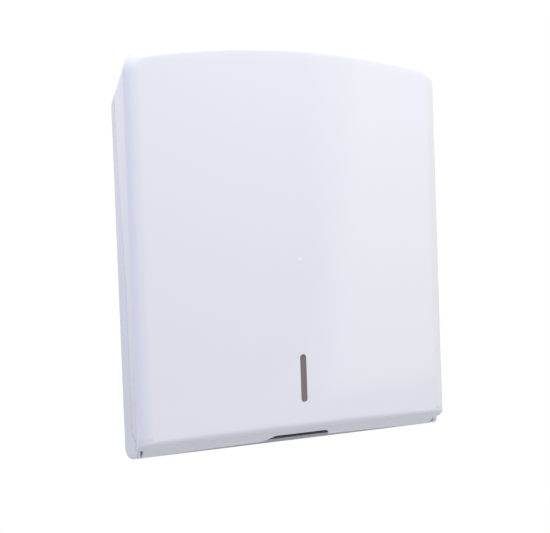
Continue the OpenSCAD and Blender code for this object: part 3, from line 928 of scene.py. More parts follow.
@dataclass
class RearShell:
    """Rear body that hangs on the wall: drafted shell, rounded foot, ears and back panel."""

    form: Envelope
    columns: Columns
    fixings: Fixings
    inside: Tuple[float, float, float] = (0.0, -60.0, 100.0)
    rear_drop: float = 26.0
    foot_r: float = 6.0
    bottom_r: float = 6.0
    belly_y: float = -6.0
    belly_r: float = 60.0
    even_y: float = -22.0
    ledge_front: float = -93.5
    mouth_half: float = 100.0
    mouth_back: float = -48.0
    mouth_r: float = 20.0
    pin_r: float = 2.55
    ear_rings: Tuple[float, ...] = (0.0, 0.2, 0.6, 1.0)
    run_rows: Tuple[int, int, int] = (3, 10, 6)
    foot_rows: int = 9
    front_rows: int = 7
    ledge_cols: int = 6
    mouth_cols: Tuple[int, int] = (9, 10)
    ear_cols: int = 5
    nose_cols: int = 13
    side_low: float = 27.0
    side_lines: int = 44
    side_steps: int = 4
    arc_steps: int = 6
    hole_steps: int = 24
    soft_edge: float = 0.25

    def __post_init__(self) -> None:
        """Start the sheet of the right half and lay out the rows of depth that patches share."""
        self.sheet = Sheet(self.inside)
        foot = np.linspace(0.0, QUARTER_TURN, self.foot_rows)
        stops = (-self.form.seam_low, self.mouth_front, self.even_y, -self.foot_r)
        runs = [np.linspace(*run)[:-1] for run in zip(stops[:-1], stops[1:], self.run_rows)]
        self.rows = np.concatenate([*runs, self.foot_r * (np.sin(foot) - 1.0)])
        front = np.linspace(self.ledge_front, -self.form.seam_low, self.front_rows)[:-1]
        self.low_rows = np.concatenate([front, self.rows])

    @property
    def mouth_front(self) -> float:
        """Depth where the arcs of the mouth's rear corners begin."""
        return self.mouth_back - self.mouth_r

    def floor(self, y: np.ndarray) -> Tuple[np.ndarray, np.ndarray]:
        """Height of the bottom and radius of its side edge at depth y.

        The belly is a circle of belly_r that leaves the foot level and runs out in the straight
        line that touches it and the lip's round end, over which the edge tapers to the lip's
        radius. The foot is a quarter circle of foot_r at the wall.

        Args:
            y: Depths.

        Returns:
            Heights and edge radii.
        """
        hub_z = self.belly_r - self.rear_drop
        away = np.array([self.form.lip_end[1] - self.belly_y, self.form.lip_edge_r - hub_z])
        lean = math.acos((self.belly_r - self.form.lip_edge_r) / np.linalg.norm(away))
        angle = math.atan2(away[1], away[0]) + lean
        touch = (self.belly_y + self.belly_r * math.cos(angle),
                 hub_z + self.belly_r * math.sin(angle))
        tip = self.form.lip_end[1] + self.form.lip_edge_r * math.cos(angle)
        reach = np.clip(y - self.belly_y, touch[0] - self.belly_y, 0.0)
        height = hub_z - np.sqrt(self.belly_r ** 2 - reach ** 2)
        line = np.clip(y, tip, touch[0]) - touch[0]
        height = height - line / math.tan(angle)
        edge = self.bottom_r + (self.form.lip_edge_r - self.bottom_r) * line / (tip - touch[0])
        inside = np.clip(y + self.foot_r, 0.0, self.foot_r)
        round_foot = np.sqrt(np.maximum(self.foot_r ** 2 - inside ** 2, 0.0))
        foot = y > -self.foot_r
        height = np.where(foot, self.foot_r - self.rear_drop - round_foot, height)
        return height, np.where(foot, round_foot, edge)

    def bottom_turn(self) -> float:
        """Angle round the bottom edge at which the hinge ear's inner side ends."""
        y = np.array([self.ledge_front])
        _, edge = self.floor(y)
        reach = float(self.form.side_x(y)[0]) - self.form.ear_in
        return math.acos(1.0 - reach / float(edge[0]))

    def upper(self) -> None:
        """Add the side from the ear's top upward, the corner and the arched top, seam to wall."""
        height, _ = self.form.corner(self.form.front_hw)
        side_z = np.linspace(self.side_low, height, self.side_lines)
        side_z = np.concatenate([[self.form.ear_top], side_z])
        wall = Wall(self.form, self.columns, side_z)
        share = -self.rows / self.form.seam_low
        self.sheet.grid(wall.at(share[:, None] * wall.seam))

    def edge_arc(self, y: np.ndarray, turn: np.ndarray) -> Tuple[np.ndarray, np.ndarray]:
        """Follow the bottom's rounded side edge, an arc from the side wall to the floor.

        Args:
            y: Depths of the rows.
            turn: Angles round the arc, from the side wall on.

        Returns:
            Grids of x and of z.
        """
        height, edge = self.floor(y)
        x = self.form.side_x(y)[:, None] - edge[:, None] * (1.0 - np.cos(turn))
        z = (height + edge)[:, None] - edge[:, None] * np.sin(turn)
        return x, z

    def side_columns(self, y: np.ndarray) -> np.ndarray:
        """Points down the side from the ear's top to part way round the bottom edge.

        Args:
            y: Depths of the rows.

        Returns:
            Grid with one column for each step down the side and round the edge.
        """
        arc_x, arc_z = self.edge_arc(y, np.linspace(0.0, self.bottom_turn(), self.arc_steps + 1))
        drop = np.linspace(0.0, 1.0, self.side_steps + 1)[:-1]
        flat_z = self.form.ear_top + drop * (arc_z[:, :1] - self.form.ear_top)
        flat_x = np.repeat(arc_x[:, :1], self.side_steps, axis=1)
        x = np.concatenate([flat_x, arc_x], axis=1)
        z = np.concatenate([flat_z, arc_z], axis=1)
        return np.stack([x, np.broadcast_to(y[:, None], x.shape), z], axis=-1)

    def bottom(self) -> None:
        """Add the low side, the bottom edge, the ledge beside the mouth and the floor behind it."""
        y = self.low_rows
        self.sheet.grid(self.side_columns(y))
        turn = np.linspace(self.bottom_turn(), QUARTER_TURN, self.ledge_cols)
        arc_x, arc_z = self.edge_arc(y, turn)
        inner = np.linspace(0.0, 1.0, self.ledge_cols)[1:]
        flat_x = arc_x[:, -1:] + inner * (self.mouth_half - arc_x[:, -1:])
        flat_z = np.repeat(self.floor(y)[0][:, None], len(inner), axis=1)
        x = np.concatenate([arc_x, flat_x], axis=1)
        z = np.concatenate([arc_z, flat_z], axis=1)
        self.sheet.grid(np.stack([x, np.broadcast_to(y[:, None], x.shape), z], axis=-1))
        self.behind_mouth()

    def behind_mouth(self) -> None:
        """Add the floor behind the paper's mouth, whose rear corners are arcs of mouth_r."""
        arc = np.linspace(0.0, QUARTER_TURN, self.mouth_cols[0])
        corner = self.mouth_half - self.mouth_r
        flat = np.linspace(corner, 0.0, self.mouth_cols[1])[1:]
        x = np.concatenate([corner + self.mouth_r * np.cos(arc), flat])
        front = np.concatenate([self.mouth_front + self.mouth_r * np.sin(arc),
                                np.full_like(flat, self.mouth_back)])
        rows = self.rows[self.rows > self.mouth_front - CLOSE][:, None]
        share = np.minimum((rows - self.even_y) / (self.mouth_front - self.even_y), 1.0)
        bent = self.even_y + share * (front - self.even_y)
        y = np.where(rows < self.even_y, bent, rows)
        height, _ = self.floor(y)
        self.sheet.grid(np.stack([np.broadcast_to(x, y.shape), y, height], axis=-1))

    def ear(self) -> None:
        """Add the hinge ear, a ring from the pin's hole to the rounded end before the ledge."""
        form = self.form
        pin = np.array([form.hinge_y, form.hinge_z])
        edge = self.side_columns(np.array([self.ledge_front]))[0]
        top = np.linspace(self.ledge_front, form.hinge_y, self.ear_cols)[:-1]
        half = np.linspace(QUARTER_TURN, QUARTER_TURN + HALF_TURN, self.nose_cols)
        nose = pin + form.ear_r * np.stack([np.cos(half), np.sin(half)], axis=-1)
        under = np.linspace(nose[-1], edge[-1, 1:], self.ear_cols)[1:]
        outline = np.concatenate([
            np.stack([top, np.full_like(top, form.ear_top)], axis=-1), nose, under,
            edge[-2::-1, 1:]])
        hole = pin + self.pin_r * unit(outline - pin)
        share = np.array(self.ear_rings)[:, None, None]
        y, z = np.moveaxis(hole + share * (outline - hole), -1, 0)
        height, radius = self.floor(y)
        below = np.clip(height + radius - z, 0.0, radius)
        x = form.side_x(y) - radius + np.sqrt(radius ** 2 - below ** 2)
        self.sheet.grid(np.stack([x, y, z], axis=-1))

    def panel(self, work: bmesh.types.BMesh) -> None:
        """Fill the back with a flat panel that has two round screw holes in this half.

        Args:
            work: Mesh of the right half.
        """
        rim = [edge for edge in work.edges
               if edge.is_boundary and all(abs(vert.co.y) < CLOSE for vert in edge.verts)]
        ends = sorted((vert for edge in rim for vert in edge.verts if vert.co.x < CLOSE),
                      key=lambda vert: vert.co.z)
        rim.append(work.edges.new((ends[0], ends[-1])))
        fix = self.fixings
        for sign in (-1.0, 1.0):
            centre = (fix.hole_dx, 0.0, MOUNT_Z + sign * fix.hole_dz)
            circle = lathe([(fix.hole_r, 0.0)], self.hole_steps, centre, 1)[0, :-1]
            ring = [work.verts.new(spot) for spot in circle]
            rim += [work.edges.new((ring[i - 1], ring[i])) for i in range(len(ring))]
        made = bmesh.ops.triangle_fill(work, use_beauty=True, use_dissolve=False, edges=rim,
                                       normal=Vector((0.0, 1.0, 0.0)))["geom"]
        faces = [item for item in made if isinstance(item, bmesh.types.BMFace)]
        wrong = [face for face in faces if face.normal.y < 0.0]
        bmesh.ops.reverse_faces(work, faces=wrong)

    def build(self, material: bpy.types.Material) -> bpy.types.Object:
        """Make the rear shell.

        Args:
            material: Look of the moulding.

        Returns:
            The shell's object.
        """
        self.upper()
        self.bottom()
        self.ear()
        work = self.sheet.half()
        self.panel(work)
        mirror(work)
        piece = Piece("rear_shell", Body.REAR, Slot.REAR, material, ("rear_body",))
        return even_normals(thicken(piece.from_bmesh(work), self.form.wall, self.soft_edge))


@dataclass
class SeamRim:
    """Thin rim of the rear body that steps in behind the cover's edge all along the seam."""

    form: Envelope
    columns: Columns
    root: float = 1.4
    shoulder: float = 0.4
    inset: float = 3.4
    thickness: float = 1.6
    reach: float = 4.0
    foot: float = 18.0
    side_lines: int = 45
    soft_edge: float = 0.3

    def build(self, material: bpy.types.Material) -> bpy.types.Object:
        """Make the rim.

        Its surface follows the wall's lines, moved inward along their normals, from behind the
        seam to the distance reach before it.

        Args:
            material: Look of the moulding.

        Returns:
            The rim's object.
        """
        height, _ = self.form.corner(self.form.front_hw)
        wall = Wall(self.form, self.columns, np.linspace(self.foot, height, self.side_lines))
        step = np.array([[self.root, self.form.wall], [self.shoulder, self.inset],
                         [-self.reach, self.inset]])
        sheet = Sheet(self.form.inside)
        sheet.grid(wall.at(wall.seam + step[:, :1]) - step[:, 1:, None] * wall.normal)
        work = sheet.half()
        mirror(work)
        made = Piece("rear_seam_rim", Body.REAR, Slot.REAR, material).from_bmesh(work)
        return thicken(made, self.thickness, self.soft_edge)


@dataclass
class RearFittings:
    """Bosses and ribs moulded inside the back panel."""

    fixings: Fixings
    panel_t: float = 3.0
    boss_r: float = 8.0
    boss_h: float = 4.0
    boss_sunk: float = 0.4
    boss_fillet: float = 1.0
    boss_soft: float = 0.4
    screw_boss_r: float = 3.75
    screw_boss_h: float = 6.0
    rib_h: float = 2.5
    rib_t: float = 2.0
    rib_sunk: float = 0.3
    rib_fillet: float = 0.6
    rib_soft: float = 0.3
    rib_crest: Tuple[float, float] = (0.9, 0.5)
    rib_x: Tuple[float, ...] = (-65.0, -25.0, 25.0, 65.0)
    rib_z: Tuple[float, float] = (0.0, 270.5)

    def boss(self, radius: float, bore: float, height: float, x: float, z: float) -> np.ndarray:
        """Surface of a hollow boss on the panel with a filleted foot and a softened rim.

        Args:
            radius: Outer radius.
            bore: Radius of the hole.
            height: Height over the panel.
            x: Place across.
            z: Place up.

        Returns:
            Grid turned round the depth axis.
        """
        panel, face = -self.panel_t, -self.panel_t - height
        base = panel + self.boss_sunk
        fillet, soft = self.boss_fillet, self.boss_soft
        bend = 0.3 * fillet  # middle of the fillet's arc, about 1 - cos(45 degrees)
        profile = [(bore, base), (radius + fillet, base), (radius + fillet, panel),
                   (radius + bend, panel - bend), (radius, panel - fillet),
                   (radius, face + soft), (radius - soft, face), (bore + soft, face),
                   (bore, face + soft), (bore, base)]
        return lathe(profile, ROUND_STEPS, (x, 0.0, z), 1)

    def rib(self, x: float) -> List[np.ndarray]:
        """Upright rib on the panel, a thin bar with a rounded crest.

        Args:
            x: Place across.

        Returns:
            Grids of the bar.
        """
        half = self.rib_t / 2.0
        panel, face = -self.panel_t, -self.panel_t - self.rib_h
        shoulder, crest = (share * half for share in self.rib_crest)
        right = [(half + self.rib_fillet, panel + self.rib_sunk), (half, panel - self.rib_fillet),
                 (shoulder, face + self.rib_soft), (crest, face)]
        outline = [(x + off, y) for off, y in right] + [(x - off, y) for off, y in reversed(right)]
        return prism(outline, *self.rib_z, 2)

    def build(self, material: bpy.types.Material) -> None:
        """Make the wall bosses, the screw bosses and the ribs.

        Args:
            material: Look of the moulding.
        """
        fix = self.fixings
        pieces = {
            "rear_wall_bosses": [
                self.boss(self.boss_r, fix.hole_r, self.boss_h, sx * fix.hole_dx,
                          MOUNT_Z + sz * fix.hole_dz) for sx in (-1, 1) for sz in (-1, 1)],
            "rear_screw_bosses": [
                self.boss(self.screw_boss_r, fix.screw_r, self.screw_boss_h, side * fix.screw_x,
                          fix.screw_z) for side in (-1, 1)]}
        pieces.update((f"rear_rib_{number}", self.rib(x)) for number, x in enumerate(self.rib_x))
        for name, grids in pieces.items():
            Piece(name, Body.REAR, Slot.REAR, material).from_grids(grids)


@dataclass
class CoverFittings:
    """Hinge lugs, lip ends, catch, window stakes and gate mark moulded on the cover."""

    form: Envelope
    lug_len: float = 12.7
    lug_soft: float = 0.6
    lug_edge: float = 0.25
    pin_r: float = 2.5
    pin_seat: float = 9.7
    plate_t: float = 3.0
    plate: Tuple[Tuple[float, float], ...] = (
        (-103.5, 13.9), (-112.0, 22.5), (-118.0, 18.5), (-104.0, 3.4))
    lip_skin: float = 1.0
    catch_half: float = 9.0
    catch_y: Tuple[float, float] = (-50.6, -47.6)
    catch_z: Tuple[float, float] = (330.0, 339.6)
    catch_edge: float = 0.3
    gusset_d: float = 4.0
    gusset_t: float = 2.0
    gusset_in: float = 1.0
    gusset_toe: float = 2.0
    gusset_sunk: float = 0.2
    stake_r: float = 1.5
    stake_head_r: float = 2.7
    stake_root: float = -1.4
    stake_dome: Tuple[Tuple[float, float], ...] = (
        (1.0, 2.05), (0.96, 2.4), (0.7, 2.8), (0.3, 3.0), (0.0, 3.02))
    stake_z: float = 25.5
    slot_z: float = 60.0
    window_back: float = -126.9
    window_t: float = 2.0
    gate_z: float = 158.7
    gate_r: float = 2.2
    gate_h: float = 0.08
    gate_sunk: float = 0.35
    gate_dome: Tuple[Tuple[float, float], ...] = (
        (1.0, 0.0), (0.86, 0.6), (0.5, 0.9), (0.0, 1.0))

    def hinge(self, side: float) -> List[np.ndarray]:
        """Lug round the pin, flattened where it meets the lip, and the plate at the lip's end.

        Points of the turned lug beyond the plane lip_skin inside the lip are drawn back onto it.
        Both end short of the ear's rounded foot.

        Args:
            side: Sign of the side.

        Returns:
            Grids of the two closed forms.
        """
        form = self.form
        out, inner = form.lug_out, form.lug_out - self.lug_len
        r, soft = form.ear_r, self.lug_soft
        seat = out - self.pin_seat
        profile = [(0.0, inner), (r - soft, inner), (r, inner + soft), (r, out), (self.pin_r, out),
                   (self.pin_r, seat), (0.0, seat)]
        profile = [(radius, side * place) for radius, place in profile]
        lug = lathe(profile, ROUND_STEPS, (0.0, form.hinge_y, form.hinge_z), 0)
        on_lip = np.array([0.0, form.crown - form.depth, form.lip_rise])
        proud = np.maximum((lug - on_lip) @ form.lip_normal + self.lip_skin, 0.0)
        lug = lug - proud[..., None] * form.lip_normal
        return [lug, *prism(self.plate, side * (out - self.plate_t), side * out, 0)]

    def catch(self) -> List[np.ndarray]:
        """Catch that hangs from the top for the latch's tooth, with two gussets on its wall side.

        Returns:
            Grids of the closed forms.
        """
        near, far = self.catch_y
        low, high = self.catch_z
        half = self.catch_half
        grids = prism([(near, low), (far, low), (far, high), (near, high)], -half, half, 0)
        root, tip = far - self.gusset_sunk, far + self.gusset_d
        wedge = [(root, low + self.gusset_in), (tip, high - self.gusset_toe), (tip, high),
                 (root, high)]
        for x in (self.gusset_in - half, half - self.gusset_in - self.gusset_t):
            grids += prism(wedge, x, x + self.gusset_t, 0)
        return grids

    def stakes(self) -> List[np.ndarray]:
        """Melted stake heads that hold the sight window behind the slot.

        Returns:
            Grids of the turned heads.
        """
        r = self.stake_r
        profile = [(0.0, self.stake_root), (r, self.stake_root), (r, self.window_t),
                   *((share * self.stake_head_r, height) for share, height in self.stake_dome)]
        face = self.window_back - self.window_t
        return [lathe(profile, SMALL_STEPS, (0.0, face, self.slot_z + sign * self.stake_z), 1)
                for sign in (-1.0, 1.0)]

    def gate(self) -> np.ndarray:
        """Small round gate mark proud of the middle of the front, a shallow dome.

        Returns:
            Grid of the turned dome.
        """
        profile = [(0.0, self.gate_sunk), (self.gate_r, self.gate_sunk),
                   *((share * self.gate_r, -rise * self.gate_h) for share, rise in self.gate_dome)]
        return lathe(profile, SMALL_STEPS, (0.0, -self.form.depth, self.gate_z), 1)

    def build(self, material: bpy.types.Material, painted_highlight_look: bpy.types.Material) -> None:
        """Make the fittings.

        Args:
            material: Look of the moulding.
            painted_highlight_look: Look of the gate mark, lighter than the cover: a painted
                highlight.
        """
        for side, name in ((-1.0, "left"), (1.0, "right")):
            lug = Piece(f"cover_hinge_lug_{name}", Body.COVER, Slot.COVER, material)
            soften(lug.from_grids(self.hinge(side)), self.lug_edge)
        catch = Piece("cover_catch", Body.COVER, Slot.COVER, material)
        soften(catch.from_grids(self.catch()), self.catch_edge)
        Piece("cover_stakes", Body.COVER, Slot.COVER, material).from_grids(self.stakes())
        # The gate mark takes the lighter look that paints in its highlight.
        Piece("cover_gate_mark", Body.COVER, Slot.COVER, painted_highlight_look).from_grids([self.gate()])


@dataclass
class LatchSpring:
    """Steel compression spring under the latch's stem, wound as one tube."""

    y: float = -12.7
    low: float = 289.5
    length: float = 16.0
    radius: float = 3.4
    wire: float = 0.9
    turns: float = 6.5
    closed: float = 1.0
    end_pitch: float = 1.05
    travel: float = 5.0
    line_steps: int = 400
    smooth_steps: int = 20
    ring_steps: int = 15

    def build(self, material: bpy.types.Material) -> bpy.types.Object:
        """Make the spring.

        Its centre line is a circle of the mean radius that rises by about one wire in each closed
        end turn and evenly between them, and the tube has the wire's radius round that line.

        Args:
            material: Look of the wire.

        Returns:
            The spring's object.
        """
        thick, pitch = self.wire / 2.0, self.wire * self.end_pitch
        lower, upper = self.low + thick, self.low + self.length - thick
        turn = np.linspace(0.0, self.turns, self.line_steps)
        height = np.interp(turn, [0.0, self.closed, self.turns - self.closed, self.turns],
                           [lower, lower + pitch, upper - pitch, upper])
        kernel = np.hanning(2 * self.smooth_steps + 1)
        padded = np.pad(height, self.smooth_steps, constant_values=(lower, upper))
        height = np.convolve(padded, kernel / kernel.sum(), mode="valid")
        angle = FULL_TURN * turn
        radial = np.stack([np.cos(angle), np.sin(angle), np.zeros_like(angle)], axis=-1)
        up = np.array([0.0, 0.0, 1.0])
        line = self.radius * radial + np.stack(
            [np.zeros_like(height), np.full_like(height, self.y), height], axis=-1)
        around = np.linspace(0.0, FULL_TURN, self.ring_steps)[None, :, None]
        tube = line[:, None] + thick * (np.cos(around) * radial[:, None] + np.sin(around) * up)
        ends = [np.stack([np.repeat(line[[end]], self.ring_steps, axis=0), tube[end]])
                for end in (0, -1)]
        piece = Piece("latch_spring_wire", Body.REAR, Slot.SPRING, material, ("latch_spring",))
        made = piece.from_grids([tube, *ends])
        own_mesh(made)
        return made


@dataclass
class HousingScrews:
    """Two pan-head screws that hold the latch's housing."""

    fixings: Fixings
    face_y: float = -12.0
    tip_y: float = -3.4
    head_r: float = 3.3
    head_h: float = 2.4
    rim_share: float = 0.45
    dome_cut: float = 0.92
    recess_r: float = 1.7
    recess_d: float = 1.3
    recess_fade: float = 0.35
    recess_taper: float = 0.35
    bar_half: float = 0.42
    bar_soft: float = 0.12
    head_rings: int = 29
    head_cols: int = 65

    def screw(self, side: float) -> List[np.ndarray]:
        """Domed head with a cross recess, and the shank into the boss.

        The dome's depth is a circle's arc over the head, less a recess that fades from the
        centre along the two bars of a cross.

        Args:
            side: Sign of the side.

        Returns:
            Grids of the head and the shank.
        """
        middle = side * self.fixings.screw_x
        share = np.linspace(0.0, 1.0, self.head_rings)[:, None]
        angle = np.linspace(0.0, FULL_TURN, self.head_cols)[None, :]
        arc = np.sqrt(1.0 - self.dome_cut * share ** 2) * np.ones_like(angle)
        dome = self.head_h * (self.rim_share + (1.0 - self.rim_share) * arc)
        radius = self.head_r * share
        across = np.minimum(np.abs(radius * np.cos(angle)), np.abs(radius * np.sin(angle)))
        bar = np.clip((self.bar_half - across) / self.bar_soft, 0.0, 1.0)
        fade = np.clip((self.recess_r - radius) / self.recess_fade, 0.0, 1.0)
        taper = 1.0 - self.recess_taper * radius / self.recess_r
        depth = dome - self.recess_d * bar * fade * taper

        def turned(reach: np.ndarray, y: np.ndarray) -> np.ndarray:
            """Grid of points at the given reach round the screw's axis and the given depth."""
            return np.stack([middle + reach * np.cos(angle), y + np.zeros_like(reach * angle),
                             self.fixings.screw_z + reach * np.sin(angle)], axis=-1)

        head = turned(radius, self.face_y - depth)
        shank = np.array([[self.head_r, self.face_y], [self.fixings.screw_r, self.face_y],
                          [self.fixings.screw_r, self.tip_y], [0.0, self.tip_y]])
        return [head, np.concatenate([head[-1:], turned(shank[:, :1], shank[:, 1:])])]

    def build(self, material: bpy.types.Material) -> bpy.types.Object:
        """Make both screws.

        Args:
            material: Look of the steel.

        Returns:
            The screws' object.
        """
        piece = Piece("housing_screw_heads", Body.REAR, Slot.SCREW, material, ("housing_screws",))
        return piece.from_grids(self.screw(-1.0) + self.screw(1.0))


class Wiring:
    """Short ways to add and join the nodes of one tree."""

    MIX_COLOURS = (6, 7)
    MIX_RESULT = 2

    def __init__(self, tree: bpy.types.NodeTree) -> None:
        """Take hold of the tree.

        Args:
            tree: Node tree of a material or of the world.
        """
        self.nodes = tree.nodes
        self.links = tree.links

    def feed(self, socket: bpy.types.NodeSocket, value: object) -> None:
        """Link an output to a socket, or set the socket's constant.

        Args:
            socket: Input socket.
            value: Output socket or constant.
        """
        if isinstance(value, bpy.types.NodeSocket):
            self.links.new(value, socket)
        else:
            socket.default_value = value

    def add(self, kind: str,
            inputs: Optional[Dict[Union[str, int], object]] = None) -> bpy.types.Node:
        """Add a node and feed its inputs.

        Args:
            kind: Type of the node.
            inputs: Output sockets or constants by the name or the number of the input.

        Returns:
            The node.
        """
        node = self.nodes.new(kind)
        for key, value in (inputs or {}).items():
            self.feed(node.inputs[key], value)
        return node

    def noise(self, place: object, scale: float, detail: float) -> bpy.types.NodeSocket:
        """Strength of soft noise of a given scale and detail at a place."""
        node = self.add("ShaderNodeTexNoise", {"Vector": place, "Scale": scale, "Detail": detail})
        return node.outputs["Fac"]

    def direction(self) -> Tuple[bpy.types.NodeSocket, ...]:
        """Return the three parts of the ray's direction."""
        place = self.add("ShaderNodeTexCoord").outputs["Generated"]
        return tuple(self.add("ShaderNodeSeparateXYZ", {"Vector": place}).outputs)

    def maths(self, operation: str, first: object, second: object) -> bpy.types.NodeSocket:
        """Join two values by one operation.

        Args:
            operation: Name of the operation.
            first: Socket or number.
            second: Socket or number.

        Returns:
            The result's socket.
        """
        node = self.add("ShaderNodeMath", {0: first, 1: second})
        node.operation = operation
        return node.outputs["Value"]

    def ramp(self, value: object, start: float, end: float, low: float = 0.0, high: float = 1.0,
             rise: str = "SMOOTHSTEP") -> bpy.types.NodeSocket:
        """Map a value from one range to another.

        Args:
            value: Socket that is mapped.
            start: Value that gives low.
            end: Value that gives high.
            low: First result.
            high: Last result.
            rise: Kind of the run between them.

        Returns:
            The result's socket.
        """
        node = self.add("ShaderNodeMapRange", {"Value": value, "From Min": start, "From Max": end,
                                               "To Min": low, "To Max": high})
        node.interpolation_type = rise
        return node.outputs["Result"]

    def rounded(self, across: object, up: object, edges: Sequence[float], corner: float,
                soft: float) -> bpy.types.NodeSocket:
        """Mask of a rectangle with rounded corners, one inside and zero outside.

        The distance is the length of what reaches past the rectangle drawn in by the corner
        radius.

        Args:
            across: Socket of the place across.
            up: Socket of the place up.
            edges: Left, right, lower and upper edge.
            corner: Radius of the corners.
            soft: Width of the soft edge.

        Returns:
            The mask's socket.
        """
        left, right, low, high = edges
        past = []
        for place, first, last in ((across, left, right), (up, low, high)):
            off = self.maths("ABSOLUTE", self.maths("SUBTRACT", place, (first + last) / 2.0), 0.0)
            reach = (last - first) / 2.0 - corner
            past.append(self.maths("MAXIMUM", self.maths("SUBTRACT", off, reach), 0.0))
        square = [self.maths("MULTIPLY", value, value) for value in past]
        away = self.maths("SQRT", self.maths("ADD", *square), 0.0)
        return self.ramp(away, corner + soft / 2.0, corner - soft / 2.0)

    def blend(self, share: object, first: Sequence[float],
              second: Sequence[float]) -> bpy.types.NodeSocket:
        """Mix two colours.

        Args:
            share: Socket of the second colour's share.
            first: Colour at share 0.
            second: Colour at share 1.

        Returns:
            The mixed colour's socket.
        """
        node = self.nodes.new("ShaderNodeMix")
        node.data_type = "RGBA"
        self.feed(node.inputs["Factor"], share)
        for number, colour in zip(self.MIX_COLOURS, (first, second)):
            node.inputs[number].default_value = (*colour, 1.0)
        return node.outputs[self.MIX_RESULT]

    def seen_white(self, lit: bpy.types.NodeSocket, glow: str,
                   surface: bpy.types.NodeSocket) -> None:
        """Send a look to a surface, with plain white of strength 1 for camera rays.

        Args:
            lit: Look that all other rays meet.
            glow: Type of the node that shines white.
            surface: Socket of the tree's output node.
        """
        white = self.add(glow, {"Color": (1.0, 1.0, 1.0, 1.0)}).outputs[0]
        camera = self.add("ShaderNodeLightPath").outputs["Is Camera Ray"]
        mix = self.add("ShaderNodeMixShader", {"Fac": camera, 1: lit, 2: white})
        self.feed(surface, mix.outputs["Shader"])


@dataclass(frozen=True)
class Finish:
    """Look of one surface, made of nodes on object coordinates."""

    name: str
    colour: Tuple[float, float, float]
    shade: Tuple[float, float, float]
    roughness: Tuple[float, float]
    grain: float
    bump: float
    metallic: float = 0.0
    patch: float = 6.0
    patch_detail: float = 3.0
    patch_range: Tuple[float, float] = (0.3, 0.7)
    grain_detail: float = 2.0
    grain_depth: float = 0.0004

    def make(self) -> bpy.types.Material:
        """Make the material.

        Large soft noise moves the colour and the roughness a little, as the melt's flow and
        handling do, and fine noise gives the moulding's faint orange peel.

        Returns:
            The material.
        """
        material = bpy.data.materials.new(self.name)
        material.use_nodes = True
        look = Wiring(material.node_tree)
        place = look.add("ShaderNodeTexCoord").outputs["Object"]
        broad = look.noise(place, self.patch, self.patch_detail)
        fine = look.noise(place, self.grain, self.grain_detail)
        peel = look.add("ShaderNodeBump", {"Strength": self.bump, "Distance": self.grain_depth,
                                           "Height": fine})
        surface = {
            "Metallic": self.metallic,
            "Base Color": look.blend(broad, self.colour, self.shade),
            "Roughness": look.ramp(broad, *self.patch_range, *self.roughness, "LINEAR"),
            "Normal": peel.outputs["Normal"]}
        shader = look.nodes["Principled BSDF"]
        for name, value in surface.items():
            look.feed(shader.inputs[name], value)
        return material


class Finishes:
    """Materials of the dispenser."""

    def __init__(self) -> None:
        """Make every material once."""
        self.cover = Finish("white_moulding", (0.800, 0.806, 0.845), (0.782, 0.788, 0.830),
                            (0.05, 0.08), 420.0, 0.02).make()
        self.rear = Finish("white_rear_moulding", (0.755, 0.761, 0.800), (0.737, 0.743, 0.783),
                           (0.22, 0.32), 420.0, 0.06).make()
        # The gate mark's colour is lighter than the cover's, a painted highlight on its small dome.
        self.painted_highlight_look = Finish("gate_painted_highlight", (0.838, 0.843, 0.875), (0.828, 0.833, 0.865),
                            (0.10, 0.14), 420.0, 0.02).make()
        self.window = Finish("smoked_window", (0.205, 0.180, 0.182), (0.185, 0.164, 0.167),
                             (0.12, 0.2), 300.0, 0.02).make()
        self.pin = Finish("white_pin", (0.74, 0.745, 0.775), (0.72, 0.725, 0.755),
                          (0.28, 0.38), 500.0, 0.06).make()
        self.latch = Finish("grey_latch", (0.30, 0.31, 0.33), (0.27, 0.28, 0.30),
                            (0.3, 0.42), 500.0, 0.08).make()
        self.housing = Finish("white_housing", (0.76, 0.765, 0.80), (0.74, 0.745, 0.78),
                              (0.26, 0.36), 450.0, 0.06).make()
        self.spring = Finish("spring_steel", (0.56, 0.57, 0.60), (0.46, 0.47, 0.50),
                             (0.22, 0.34), 900.0, 0.06, 1.0, 60.0).make()
        self.screw = Finish("zinc_screw", (0.62, 0.62, 0.64), (0.52, 0.52, 0.54),
                            (0.24, 0.38), 900.0, 0.08, 1.0, 80.0).make()


class KeptNodes:
    """Frame nodes that keep their own meshes and get softened edges and a look."""

    def __init__(self, finishes: Finishes) -> None:
        """Name the look and the width of the softened edges of each kept node.

        Args:
            finishes: Materials of the dispenser.
        """
        self.looks = {
            "sight_window": (finishes.window, 0.2), "hinge_pin_left": (finishes.pin, 0.2),
            "hinge_pin_right": (finishes.pin, 0.2), "latch_housing": (finishes.housing, 0.3),
            "latch_slide": (finishes.latch, 0.25)}

    def build(self) -> None:
        """Dress the nodes with modifiers and materials."""
        for name, (material, edge) in self.looks.items():
            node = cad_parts[name]
            node.data.materials.clear()
            node.data.materials.append(material)
            weld = node.modifiers.new("weld", "WELD")
            weld.merge_threshold = MERGE * MM
            soften(node, edge)
            LOG.info("%s: kept from the frame", name)


@dataclass(frozen=True)
class Lamp:
    """One rectangular soft lamp that faces the frame's origin."""

    name: str
    place: Tuple[float, float, float]
    colour: Tuple[float, float, float]
    power: float = 3.7
    size: float = 0.8

    def hang(self) -> None:
        """Add the lamp to the studio."""
        data = bpy.data.lights.new(self.name, "AREA")
        data.shape = "RECTANGLE"
        data.size = data.size_y = self.size
        data.energy = self.power
        data.color = self.colour
        made = bpy.data.objects.new(self.name, data)
        made.location = self.place
        made.rotation_mode = "QUATERNION"
        made.rotation_quaternion = (-Vector(self.place)).to_track_quat("-Z", "Y")
        bpy.context.collection.objects.link(made)


